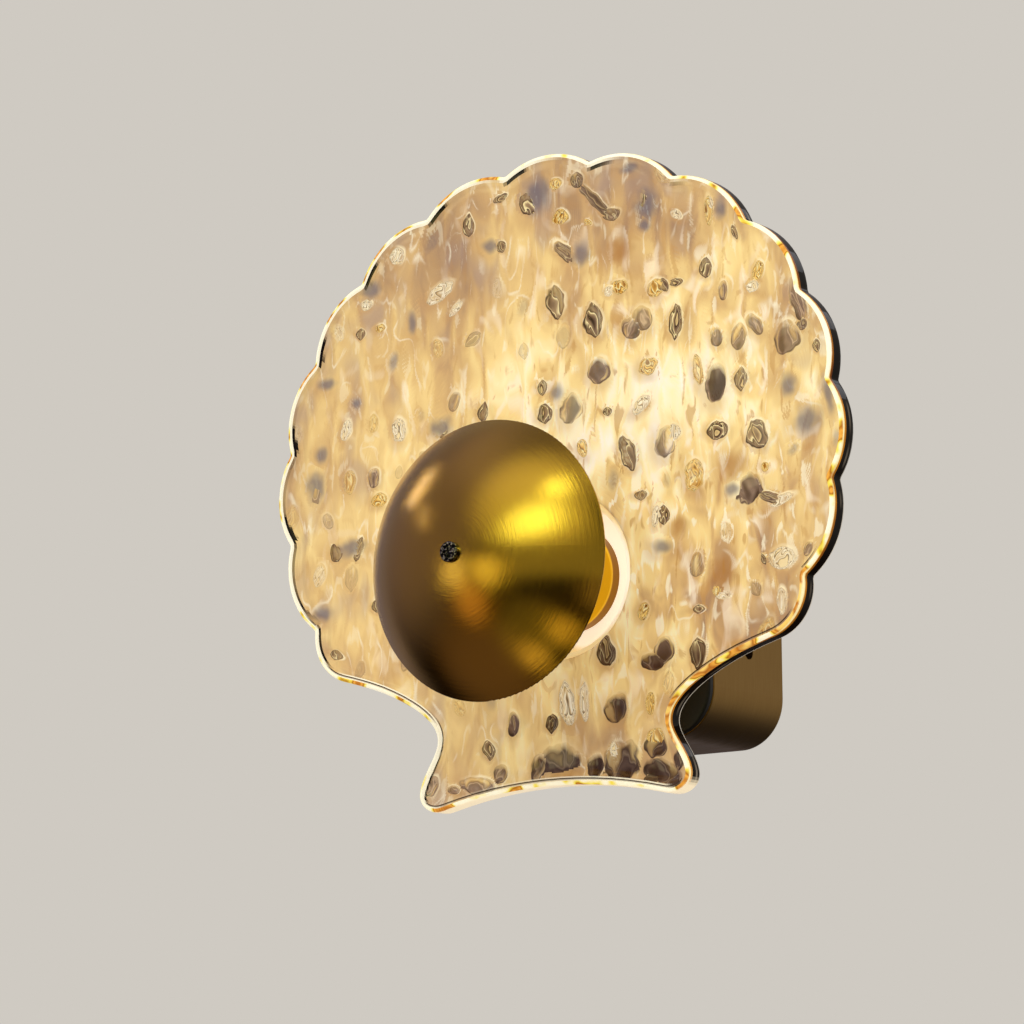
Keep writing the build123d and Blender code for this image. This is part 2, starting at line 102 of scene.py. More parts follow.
def finishMaterial(material, inputs):
    add = partial(addNode, material.node_tree)
    add("OutputMaterial", {"Surface": add("BsdfPrincipled", inputs)}, out=None)
    return material


def newPiece(name, points, faces, body, materials, attributes, faceSlots):
    # a smooth mesh object of its own from whole arrays, in metres, that rides on a body
    mesh = bpy.data.meshes.new(name)
    mesh.from_pydata(points * mm, [], faces)
    mesh.polygons.foreach_set("use_smooth", np.ones(len(faces), bool))
    for material in materials:
        mesh.materials.append(material)
    mesh.polygons.foreach_set("material_index", faceSlots.astype(np.int32))
    domains = {len(points): "POINT", len(faces): "FACE", len(faces) * 4: "CORNER"}
    for label, values in attributes.items():
        isVector = values.ndim == 2
        layer = mesh.attributes.new(label, "FLOAT_VECTOR" if isVector else "FLOAT", domains[len(values)])
        layer.data.foreach_set("vector" if isVector else "value", values.astype(np.float32).ravel())
    mesh.update()
    piece = bpy.data.objects.new(name, mesh)
    bpy.context.scene.collection.objects.link(piece)
    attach(piece, body)
    return piece


def smoothStep(value, low, high):
    # 0 up to low and 1 from high on, with a curve of 3 t squared minus 2 t cubed between them
    share = np.clip((value - low) / (high - low), 0, 1)
    return share * share * (3 - 2 * share)


def valueNoise(x, z, seed):
    # random heights on a square lattice one unit apart, eased between their four neighbours
    side = 64  # squares each way before the lattice repeats
    lattice = np.random.default_rng(seed).random((side, side))
    column, row = np.floor(x).astype(int), np.floor(z).astype(int)
    across, along = x - column, z - row
    across = across * across * (3 - 2 * across)
    along = along * along * (3 - 2 * along)
    left, right, low, high = (place % side for place in (column, column + 1, row, row + 1))
    bottom = lattice[left, low] * (1 - across) + lattice[right, low] * across
    top = lattice[left, high] * (1 - across) + lattice[right, high] * across
    return bottom * (1 - along) + top * along


cameraLook = {
    "place": (443.17, -674.0, -115.98),  # millimetres
    "turn": 35.18,  # degrees round the upright, towards -X
    "climb": 10.088,  # degrees above the level
    "roll": -0.4336,
    "lens": 158.46,
    "sensor": 36.0,
    "clip": (0.01, 50),  # metres
}


def placeCamera(look):
    # the view's own right, up and back axes from turn, climb and roll, as the columns of its matrix
    turn, climb, roll = (math.radians(look[key]) for key in ("turn", "climb", "roll"))
    ahead = Vector((-math.sin(turn) * math.cos(climb), math.cos(turn) * math.cos(climb), math.sin(climb)))
    level = Vector((math.cos(turn), math.sin(turn), 0))
    upright = level.cross(ahead)
    right = math.cos(roll) * level + math.sin(roll) * upright
    up = math.cos(roll) * upright - math.sin(roll) * level
    data = bpy.data.cameras.new("camera")
    data.lens = look["lens"]
    data.sensor_width = look["sensor"]
    data.clip_start, data.clip_end = look["clip"]
    camera = bpy.data.objects.new("camera", data)
    bpy.context.scene.collection.objects.link(camera)
    place = Matrix((right, up, -ahead)).transposed().to_4x4()
    place.translation = Vector(look["place"]) * mm
    camera.matrix_world = place
    bpy.context.scene.camera = camera
    return camera


camera = placeCamera(cameraLook)
print("camera placed")


stageLook = {
    "floorHeight": -0.30,
    "floorRadius": 6.0,
    "floorSides": 96,
    "floorFibre": (2.5, 0.2),  # width and depth of the paper's fibres, mm
    "floorFade": (0.7, 2.2),  # metres from the middle over which the floor turns into the backdrop
    "floorColour": "#e4dfd8",
    "backdrop": "#cfcac2",
    "roomAbove": "#f2efea",  # what lights matt surfaces
    "roomFront": "#b3aa9d",
    "roomBelow": "#857664",
    "roomStrength": 0.75,
    "roomDusk": "#160f08",  # what metal sees where the room is unlit
    "backdropLeft": "#7a7078",  # what metal shows behind the object, on the -X side and on the +X side
    "backdropRight": "#c2beb6",
}

# softboxes: bearing from straight in front towards +X, height above level in degrees,
# distance, width and height in metres, radiance, colour
softboxes = {
    "keyScrim": (13, 38, 0.90, 0.86, 0.62, 1.7, "#fff4e0"),
    "keyCore": (10, 25, 0.88, 0.52, 0.30, 1.5, "#fff8e8"),
    "leftStrip": (-85, 32, 1.10, 0.050, 0.24, 7.0, "#fff0e4"),
    "leftGlint": (-64, 24, 1.10, 0.045, 0.14, 2.6, "#fff0e4"),
    "backFill": (150, 45, 1.20, 0.90, 0.70, 1.3, "#f4f6ff"),
}
mattOnly = ("keyScrim", "keyCore")  # softboxes that metal doesn't show; it shows the key glows instead

# lit parts of the room that only metal shows: bearing, height, half angle, soft edge, the height
# below which a screen cuts it off, all in degrees, then radiance and colour
roomGlows = {
    "keyHalo": (14, 36, 8, 34, 11, 0.72, "#fff6a8"),
    "keyLeft": (5, 21, 4, 8, 10, 0.80, "#eaffa0"),
    "keyMiddle": (14, 25, 7, 7, 10, 1.25, "#e8ffa0"),
    "keyRight": (26, 27, 5, 7, 10, 1.35, "#e8ffa0"),
    "keySpark": (31, 46, 3, 6, -90, 2.60, "#f0ff9c"),
    "ceiling": (10, 80, 22, 30, -90, 0.20, "#f2e2ea"),
    "leftWall": (-64, 26, 14, 44, -90, 0.21, "#f4dcff"),
    "rightWall": (32, 0, 26, 18, -9, 0.26, "#fff4a8"),
    "lampLeft": (-34, 0, 4, 6, -90, 1.30, "#fff2b8"),
    "lampRight": (-12, -2, 4, 7, -90, 1.35, "#ffee90"),
    "amberLow": (-25, -17, 3, 11, -90, 0.62, "#ffc478"),
    "floorLeft": (-44, -50, 8, 30, -90, 0.13, "#ffd0b8"),
    "floorMiddle": (10, -40, 10, 16, -90, 0.13, "#ffee90"),
    "floorNear": (7, -56, 4, 7, -90, 0.60, "#ffe088"),
    "floorRight": (35, -41, 4, 8, -90, 0.66, "#ffdf78"),
    "rightLow": (60, -18, 4, 12, -90, 0.24, "#ffe0a0"),
}


def bearingVector(bearing, climb):
    # a unit vector from its bearing and its height above level, both in degrees
    turn, rise = math.radians(bearing), math.radians(climb)
    return Vector((math.sin(turn) * math.cos(rise), -math.cos(turn) * math.cos(rise), math.sin(rise)))


def buildWorld(look, glows):
    # the studio room: matt surfaces are lit by a soft gradient, light above and dim below. Metal shows
    # the unlit room with its glows in front, and the backdrop behind. The camera and clear plastic
    # see the plain backdrop.
    world = bpy.data.worlds.new("studio")
    world.use_nodes = True
    world.cycles.sampling_method = "NONE"
    world.node_tree.nodes.clear()
    add = partial(addNode, world.node_tree)
    direction = add("TexCoord", out="Generated")
    x, y, z = add("SeparateXYZ", [direction], out=None)
    climb = add("MapRange", [z, -0.5, 0.9])  # from 30 degrees below level to 64 above
    room = add("ValToRGB", [climb],
               stops=[(0.0, look["roomBelow"]), (0.4, look["roomFront"]), (1.0, look["roomAbove"])])
    seen = linear(look["roomDusk"])[:3]
    for bearing, rise, half, soft, screen, radiance, colour in glows.values():
        toward = add("VectorMath", [direction, bearingVector(bearing, rise)],
                     operation="DOT_PRODUCT", out="Value")
        rim, core = (math.cos(math.radians(angle)) for angle in (half + soft, half))
        share = add("MapRange", [toward, rim, core], interpolation_type="SMOOTHSTEP")
        hidden, clear = (math.sin(math.radians(angle)) for angle in (max(screen - 2, -90), screen + 3))
        above = add("MapRange", [z, hidden, clear])
        both = add("Math", [share, above], operation="MULTIPLY")
        radiant = [c * radiance for c in linear(colour)[:3]]
        glow = add("VectorMath", {0: radiant, "Scale": both}, operation="SCALE")
        seen = add("VectorMath", [seen, glow], operation="ADD")
    facesBack = add("MapRange", [y, 0.05, 0.15])  # a little past sideways
    notBelow = add("MapRange", [z, -0.5, -0.2])  # from 30 to 12 degrees below level
    behind = add("Math", [facesBack, notBelow], operation="MULTIPLY")
    sideways = add("MapRange", [x, -0.8, 0.4])
    dimmed = add("Mix", {0: sideways, 6: look["backdropLeft"], 7: look["backdropRight"]},
                 data_type="RGBA", out=2)
    metal = add("Mix", {0: behind, 6: seen, 7: dimmed}, data_type="RGBA", out=2)
    rays = add("LightPath", out=None)
    lit = add("Background", {"Color": room, "Strength": look["roomStrength"]})
    reflected = add("Background", {"Color": metal, "Strength": 1.0})
    backdrop = add("Background", {"Color": look["backdrop"], "Strength": 1.0})
    ambient = add("MixShader", [rays["Is Glossy Ray"], lit, reflected])
    clearSees = add("Math", [rays["Is Camera Ray"], rays["Is Transmission Ray"]], operation="MAXIMUM")
    whole = add("MixShader", [clearSees, ambient, backdrop])
    add("OutputWorld", {"Surface": whole}, out=None)
    bpy.context.scene.world = world


def buildFloor(look):
    # a wide round sheet: matt paper in the middle, which holds the shadow, and the backdrop's
    # own colour further out, so that no horizon shows
    material, add, point = newMaterial("matt backdrop paper")
    flat = add("VectorMath", [point, (1, 1, 0)], operation="MULTIPLY")
    distance = add("VectorMath", [flat], operation="LENGTH", out="Value")
    near, far = look["floorFade"]
    fade = add("MapRange", [distance, near / mm, far / mm], interpolation_type="SMOOTHSTEP")
    width, depth = look["floorFibre"]
    fibre = add("TexNoise", {"Vector": point, "Scale": 1 / width, "Detail": 3.0})
    bump = add("Bump", {"Height": fibre, "Strength": 0.1, "Distance": depth * mm})
    paper = add("BsdfDiffuse", {"Color": look["floorColour"], "Normal": bump})
    glow = add("Emission", {"Color": look["backdrop"], "Strength": 1.0})
    mix = add("MixShader", [fade, paper, glow])
    add("OutputMaterial", {"Surface": mix}, out=None)
    turn = np.linspace(0, 2 * np.pi, look["floorSides"], endpoint=False)
    rim = np.stack([np.cos(turn), np.sin(turn)], 1) * look["floorRadius"]
    points = np.column_stack([rim, np.full(len(rim), look["floorHeight"])])
    mesh = bpy.data.meshes.new("floor")
    mesh.from_pydata(points, [], [list(range(len(points)))])
    mesh.materials.append(material)
    floor = bpy.data.objects.new("floor", mesh)
    bpy.context.scene.collection.objects.link(floor)
    floor.visible_glossy = False


def buildLights(boxes):
    # each softbox faces the lamp; its power is radiance times area times pi
    middle = (cadBox[0] + cadBox[1]) / 2
    for name, (bearing, climb, distance, width, height, radiance, colour) in boxes.items():
        away = bearingVector(bearing, climb)
        data = bpy.data.lights.new(name, "AREA")
        data.shape = "RECTANGLE"
        data.size, data.size_y = width, height
        data.energy = radiance * width * height * math.pi
        data.color = linear(colour)[:3]
        light = bpy.data.objects.new(name, data)
        light.rotation_mode = "QUATERNION"
        light.rotation_quaternion = away.to_track_quat("Z", "Y")
        light.location = middle + away * distance
        light.visible_camera = False
        light.visible_transmission = False
        light.visible_glossy = name not in mattOnly
        bpy.context.scene.collection.objects.link(light)


bpy.context.scene.view_settings.view_transform = "Standard"
buildWorld(stageLook, roomGlows)
buildFloor(stageLook)
buildLights(softboxes)
print("stage and", len(softboxes), "softboxes placed")


lampAxis = np.array([0.0, 11.4])  # X and Z of the lamp's axis, mm
panelLook = {  # lengths in mm
    "alongOutline": 760,  # points round the outline
    "frontRings": 84,
    "backRings": 22,
    "backCrowding": 1.5,  # above 1 the back's rings lie closer near the edge
    "roundRings": 7,  # of a rounded corner
    "wallRings": 6,  # of the straight edge, and of the hole's wall
    "holeRadius": 14.75,
    "edgeRound": 0.7,
    "collar": 1.2,  # flat polished border
    "collarRings": (1.0, 0.85),
    "reliefFade": 1.6,  # from the border inwards, over which the relief gets its depth
    "holeFade": (0.3, 2.5),  # the same outwards from the hole
    "rippleWidth": 3.6,
    "rippleLength": 11.0,
    "rippleDepth": 0.42,
    "shortRipples": (0.6, 0.45, 0.3),  # their width, length and depth as shares of the long ones'
    "rippleSeeds": (5, 6),
    "sways": ((3.4, 14, 14, 3), (1.2, 6, 7, 4)),  # how far ripples bend, over what width, height; seed
    "slopeStep": 0.15,  # between the two places that a slope is taken from
    "dentSpread": 1.25,  # where the hollow of a dent ends, in its own half widths
    "latticeArea": ((-66, 64), (-30, 92)),  # X and Z that the faint dents fill
    "latticePitch": (8.6, 9.4),
    "latticeJitter": 0.36,
    "latticeGap": 5.0,  # least distance from a listed mark
    "latticeWidth": (0.8, 1.9),
    "latticeHeight": (1.2, 3.2),
    "latticeDepth": 0.45,
    "latticeDark": (0.2, 0.6),
    "latticeLean": 20,  # degrees either way, which two in three stay within
    "latticeSizes": (1.6, 2.2),  # the smaller the first against the second, the more small dents
    "backDepth": 0.30,
    "backWave": (6, 9, 20, 7, 8),  # width and height, shift of its lattice in X and Z, and seed
    "backFade": 2.0,
    "gasketFade": (20.5, 23),  # from the axis: the back is flat inside it, where the gasket seats
    "cuspTurn": -0.45,  # radians that the outline turns at a cusp
    "cuspFade": (1.6, 2.2, 7.0),  # before a cusp, where the black is full, starts to fade and ends
    "insetCap": 8,  # no material needs to know a greater distance from the outline
    "seed": 11,
}
pointedShare = 0.65  # how far a pointed dent is a leaf and no longer an ellipse

# the marks that the press plate leaves, where the camera's frame of 1024 pixels shows them: across
# and down to the middle, width and height in pixels, and the lean of the top to the right in degrees
markFrame = 1024
pressMarks = {
    "eye": [
        (555, 302, 19, 38, -6), (593, 320, 19, 36, -6), (675, 322, 14, 36, 4), (740, 378, 14, 24, 0),
        (627, 453, 16, 38, -18), (716, 430, 21, 20, 0), (756, 434, 22, 32, -24), (692, 476, 13, 19, 12),
        (697, 654, 15, 34, 0), (606, 652, 19, 32, -8), (551, 723, 12, 20, 0), (541, 387, 9, 16, 0),
        (675, 282, 13, 8, 0), (698, 609, 13, 9, 0), (640, 495, 13, 10, 0), (544, 414, 15, 22, 0),
        (482, 412, 10, 22, 10), (734, 232, 5, 16, -18), (763, 559, 5, 13, -24), (663, 285, 10, 16, -30),
        (662, 514, 12, 22, 0), (468, 226, 11, 24, 0), (500, 246, 9, 13, -20), (499, 198, 14, 9, -20),
        (527, 203, 18, 28, -38), (642, 201, 7, 20, 0), (816, 345, 8, 14, 0), (607, 411, 9, 9, 0),
        (376, 606, 10, 14, 0), (336, 655, 14, 10, 20), (441, 430, 15, 18, 30), (488, 750, 13, 20, 0),
        (358, 548, 10, 26, 20), (335, 553, 12, 20, -20), (705, 268, 13, 22, 0), (360, 334, 9, 12, 0),
    ],
    "blob": [
        (630, 328, 19, 20, 20), (642, 318, 20, 26, -20), (598, 370, 22, 26, 0), (715, 336, 11, 20, -14),
        (738, 336, 15, 26, 14), (754, 324, 12, 26, -38), (786, 337, 26, 34, 8), (797, 300, 15, 46, -14),
        (714, 381, 20, 40, 6), (652, 661, 26, 18, 0), (664, 650, 20, 28, 0), (570, 408, 20, 30, 20),
        (664, 441, 20, 34, 8), (748, 488, 26, 30, -20), (615, 708, 22, 30, -8), (513, 724, 10, 26, 0),
        (558, 764, 44, 40, 0), (620, 762, 36, 44, -20), (662, 772, 46, 26, 24), (655, 744, 22, 30, 20),
        (478, 786, 38, 17, 8), (500, 774, 14, 20, 30), (538, 768, 16, 30, 16), (595, 766, 16, 26, 0),
        (680, 758, 12, 26, 20), (614, 530, 12, 22, -34), (430, 786, 14, 22, 34), (453, 790, 12, 9, 0),
        (373, 478, 12, 20, 0), (808, 548, 9, 16, 30), (315, 492, 14, 26, 0), (722, 290, 9, 20, 0),
    ],
    "shadeCloud": [
        (489, 246, 18, 18, 0), (580, 254, 24, 32, 0), (643, 224, 18, 18, 0), (536, 196, 38, 50, -30),
        (661, 546, 24, 18, 0), (556, 392, 16, 22, 0), (326, 384, 22, 15, 0), (370, 290, 26, 22, 0),
        (411, 322, 10, 30, 0), (355, 403, 12, 16, 0), (720, 208, 16, 26, 0), (731, 489, 16, 20, 0),
        (628, 168, 24, 14, 0), (440, 428, 28, 28, 0), (350, 548, 40, 24, 0), (315, 486, 24, 40, 0),
        (828, 392, 12, 56, -8), (787, 384, 20, 30, 0), (322, 613, 22, 22, 0), (806, 420, 34, 40, 0),
        (320, 455, 16, 22, 0), (645, 205, 30, 44, 0), (425, 772, 16, 30, 20),
    ],
    "amber": [
        (560, 217, 15, 16, 0), (587, 222, 9, 6, 30), (555, 184, 12, 12, 0), (655, 288, 18, 18, -20),
        (643, 611, 12, 19, 20), (619, 286, 18, 15, 0), (757, 270, 10, 21, 8), (647, 366, 19, 19, 0),
        (379, 500, 16, 14, 0), (697, 370, 11, 34, -8), (582, 448, 11, 20, -16), (764, 466, 8, 10, 0),
        (708, 210, 9, 30, 0), (379, 328, 10, 9, 0), (693, 474, 20, 32, 0), (716, 590, 9, 12, 0),
        (655, 740, 20, 26, 0), (650, 704, 10, 22, 0),
    ],
    "pale": [
        (438, 292, 28, 17, -26), (455, 308, 16, 8, -40), (398, 430, 15, 24, 0), (782, 558, 28, 22, 0),
        (672, 432, 14, 18, 0), (566, 704, 15, 44, -8), (583, 702, 9, 40, 0), (752, 286, 12, 12, 0),
        (675, 214, 12, 8, 30), (366, 305, 11, 10, -30), (608, 291, 9, 10, 0), (781, 600, 10, 26, 0),
        (781, 499, 26, 10, -16), (655, 515, 8, 22, 10), (709, 205, 7, 18, 0), (640, 404, 22, 14, -40),
        (345, 430, 10, 22, 20), (612, 751, 7, 18, 0), (722, 595, 14, 8, 0), (396, 256, 14, 18, 30),
    ],
    "drag": [
        (594, 200, 9, 58, -46), (575, 180, 13, 17, -20), (611, 214, 16, 13, 0), (563, 251, 11, 30, -46),
        (770, 497, 9, 30, -70), (801, 324, 11, 12, 0), (651, 779, 13, 11, 0),
    ],
    "amberShadeCloud": [
        (731, 466, 32, 42, 10), (722, 572, 30, 52, 10), (678, 526, 24, 28, 0), (735, 636, 22, 44, 0),
        (620, 250, 34, 30, 0), (560, 778, 60, 30, 0),
    ],
}
markKinds = {  # depth in mm, darkness, how far it is outlined, and its shares of a grey violet cloud of painted shade, of amber and of pale
    "eye": (0.40, 1.00, 1.0, (0, 0, 0)),
    "blob": (0.34, 0.85, 0.0, (0, 0, 0)),
    "shadeCloud": (0.10, 0.70, 1.0, (1, 0, 0)),
    "amber": (0.16, 0.95, 1.0, (0, 1, 0)),
    "pale": (0.24, 1.00, 1.0, (0, 0, 1)),
    "drag": (0.36, 1.00, 0.5, (0, 0, 0)),
    "amberShadeCloud": (0.08, 0.62, 1.0, (1, 1, 0)),
}
latticeKinds = ("eye", "blob", "shadeCloud", "amber", "pale")


def readOutline(look):
    # the outline is the ring of corners at the top of the panel's straight edge, in the order of
    # their bearing from the lamp's axis, with points put evenly along it
    node = nodes["shell_panel"]
    corners = np.empty(len(node.data.vertices) * 3, np.float32)
    node.data.vertices.foreach_get("co", corners)
    corners = corners.reshape(-1, 3) / mm
    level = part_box("shell_panel")[0].y / mm + look["edgeRound"]
    tolerance = 0.02  # mm
    ring = corners[np.abs(corners[:, 1] - level) < tolerance][:, [0, 2]]
    ring = ring[np.hypot(*(ring - lampAxis).T) > 1.5 * look["holeRadius"]]  # so without the hole's own
    ring = np.unique(np.round(ring, 2), axis=0)
    bearing = np.arctan2(*(ring - lampAxis).T[::-1])
    ring = ring[np.argsort(bearing)]
    closed = np.vstack([ring, ring[:1]])
    travelled = np.concatenate([[0], np.cumsum(np.hypot(*np.diff(closed, axis=0).T))])
    wanted = np.linspace(0, travelled[-1], look["alongOutline"], endpoint=False)
    return np.column_stack([np.interp(wanted, travelled, closed[:, k]) for k in (0, 1)])


def outwardNormals(outline):
    # the direction from the last point to the next, turned by a right angle and smoothed twice
    ahead = np.roll(outline, -1, 0) - np.roll(outline, 1, 0)
    normal = np.column_stack([ahead[:, 1], -ahead[:, 0]])
    for _ in range(2):
        normal = normal + 0.5 * (np.roll(normal, 1, 0) + np.roll(normal, -1, 0))
    return normal / np.linalg.norm(normal, axis=1, keepdims=True)


def cuspShares(outline, look):
    # 1 just before each cusp between two lobes, counted against the clock, fading over a few mm. A
    # cusp is where the outline turns inwards most, between the points three back and three ahead
    reach = 3
    ahead = np.roll(outline, -reach, 0) - outline
    behind = outline - np.roll(outline, reach, 0)
    turn = np.arctan2(behind[:, 0] * ahead[:, 1] - behind[:, 1] * ahead[:, 0], (behind * ahead).sum(1))
    lowest = np.minimum.reduce([np.roll(turn, step) for step in range(-2 * reach, 2 * reach + 1)])
    cusps = np.flatnonzero((turn == lowest) & (turn < look["cuspTurn"]))
    stride = np.linalg.norm(outline[1] - outline[0])
    gap = ((cusps[None, :] - np.arange(len(outline))[:, None]) % len(outline)).min(1) * stride
    print("cusps between the lobes:", len(cusps))
    full, fading, end = look["cuspFade"]
    return smoothStep(gap, 0.0, full) * (1 - smoothStep(gap, fading, end))


def onFace(across, down, face):
    # X and Z in mm where the camera's ray through a pixel of its frame meets the panel's face
    half = markFrame / 2
    perPixel = cameraLook["sensor"] / cameraLook["lens"] / markFrame
    ray = camera.matrix_world.to_3x3() @ Vector(((across - half) * perPixel, (half - down) * perPixel, -1))
    place = Vector(cameraLook["place"])
    met = place + ray * ((face - place.y) / ray.y)
    return np.array([met.x, met.z])


def castDimples(look, face):
    # the dents of the hammered face, one column of numbers for each of their values: the listed marks,
    # then a staggered and jittered lattice of faint ones between them
    dimples = []
    rng = np.random.default_rng(look["seed"])
    for kind, places in pressMarks.items():
        depth, dark, lined, shares = markKinds[kind]
        for across, down, width, height, lean in places:
            middle = onFace(across, down, face)
            wide = np.linalg.norm(onFace(across + width / 2, down, face) - middle)
            high = np.linalg.norm(onFace(across, down + height / 2, face) - middle)
            dimples.append((*middle, wide, high, math.radians(lean), depth, *shares, dark, lined,
                            kind == "eye", rng.random()))
    byHand = np.array(dimples)[:, :2]
    pitchX, pitchZ = look["latticePitch"]
    spanX, spanZ = look["latticeArea"]
    x, z = np.meshgrid(np.arange(*spanX, pitchX), np.arange(*spanZ, pitchZ))
    x = x + (np.arange(len(x)) % 2)[:, None] * pitchX / 2
    jitter = look["latticeJitter"]
    x = (x + rng.uniform(-jitter, jitter, x.shape) * pitchX).ravel()
    z = (z + rng.uniform(-jitter, jitter, z.shape) * pitchZ).ravel()
    size = rng.beta(*look["latticeSizes"], len(x))
    for place, share in zip(np.column_stack([x, z]), size):
        sides = [look[key][0] + share * np.ptp(look[key]) for key in ("latticeWidth", "latticeHeight")]
        kind = latticeKinds[rng.integers(len(latticeKinds))]
        lean, dark = math.radians(rng.normal(0, look["latticeLean"])), rng.uniform(*look["latticeDark"])
        if np.hypot(*(byHand - place).T).min() > look["latticeGap"]:
            dimples.append((*place, *sides, lean, look["latticeDepth"] * dark, *markKinds[kind][3],
                            dark, rng.random(), kind == "eye", rng.random()))
    keys = ("x", "z", "wide", "high", "lean", "depth", "shadeCloud", "amber", "pale", "dark", "lined",
            "pointed", "chance")
    return dict(zip(keys, np.array(dimples).T))


def insideDimple(x, z, dimples, which):
    # the place in a dent's own half widths and half heights, turned by its lean
    lean = dimples["lean"][which]
    dx, dz = x - dimples["x"][which], z - dimples["z"][which]
    across = (dx * np.cos(lean) - dz * np.sin(lean)) / dimples["wide"][which]
    along = (dz * np.cos(lean) + dx * np.sin(lean)) / dimples["high"][which]
    return across, along


def reliefAt(x, z, dimples, look):
    # how far the face is pressed in: long and short upright ripples, bent by wider waves, and the
    # dents. Also which dent is nearest and its reach, in its own half widths: the length of the place
    # in it, or mostly across plus along squared where its ends are pointed
    sway = sum(far * (valueNoise(x / wide, z / high, seed) - 0.5)
               for far, wide, high, seed in look["sways"])
    shortWidth, shortLength, shortDepth = look["shortRipples"]
    longSeed, shortSeed = look["rippleSeeds"]
    long = valueNoise((x + sway) / look["rippleWidth"], z / look["rippleLength"], longSeed)
    short = valueNoise((x - sway) / (look["rippleWidth"] * shortWidth),
                       z / (look["rippleLength"] * shortLength), shortSeed)
    depth = look["rippleDepth"] * (long + shortDepth * short)
    nearest = np.full(x.shape, 9.0)
    which = np.zeros(x.shape, int)
    for number in range(len(dimples["x"])):
        across, along = insideDimple(x, z, dimples, number)
        reach = np.hypot(across, along)
        if dimples["pointed"][number]:
            reach = (1 - pointedShare) * reach + pointedShare * (np.abs(across) + along ** 2)
        depth = depth + dimples["depth"][number] * (1 - smoothStep(reach, 0, look["dentSpread"]))
        closer = reach < nearest
        nearest = np.where(closer, reach, nearest)
        which = np.where(closer, number, which)
    return depth, nearest, which


def sectionRings(look, outline, outward, front, back):
    # the rings that the section goes through, each with its X and Z all round, its Y and the surface
    # that it is on: from the hole over the face, round the edge, back to the hole and through it
    away = outline - lampAxis
    hole = lampAxis + look["holeRadius"] * away / np.linalg.norm(away, axis=1, keepdims=True)
    collar = outline - outward * look["collar"]
    corner = look["edgeRound"]
    quarter = [(math.sin(angle), math.cos(angle))
               for angle in np.linspace(0, np.pi / 2, look["roundRings"])]
    rings = [(hole + (collar - hole) * share, front, "face")
             for share in np.linspace(0, 1, look["frontRings"])]
    rings += [(outline - outward * inset, front, "face") for inset in look["collarRings"]]
    rings += [(outline - outward * corner * (1 - sine), front + corner * (1 - cosine), "edge")
              for sine, cosine in quarter]
    rings += [(outline, level, "edge")
              for level in np.linspace(front + corner, back - corner, look["wallRings"])[1:]]
    rings += [(outline - outward * corner * (1 - cosine), back - corner * (1 - sine), "edge")
              for sine, cosine in quarter[1:]]
    rings += [(collar + (hole - collar) * share, back, "back")
              for share in np.linspace(0, 1, look["backRings"]) ** look["backCrowding"]]
    return rings + [(hole, level, "hole")
                    for level in np.linspace(back, front, look["wallRings"])[1:-1]]


def insetFrom(outline, x, z):
    # the distance inwards from the outline: the least to 25 of its points about the same bearing
    nearby = [np.roll(outline, step, 0) for step in range(-24, 25, 2)]
    return np.minimum.reduce([np.hypot(x - other[:, 0], z - other[:, 1]) for other in nearby])


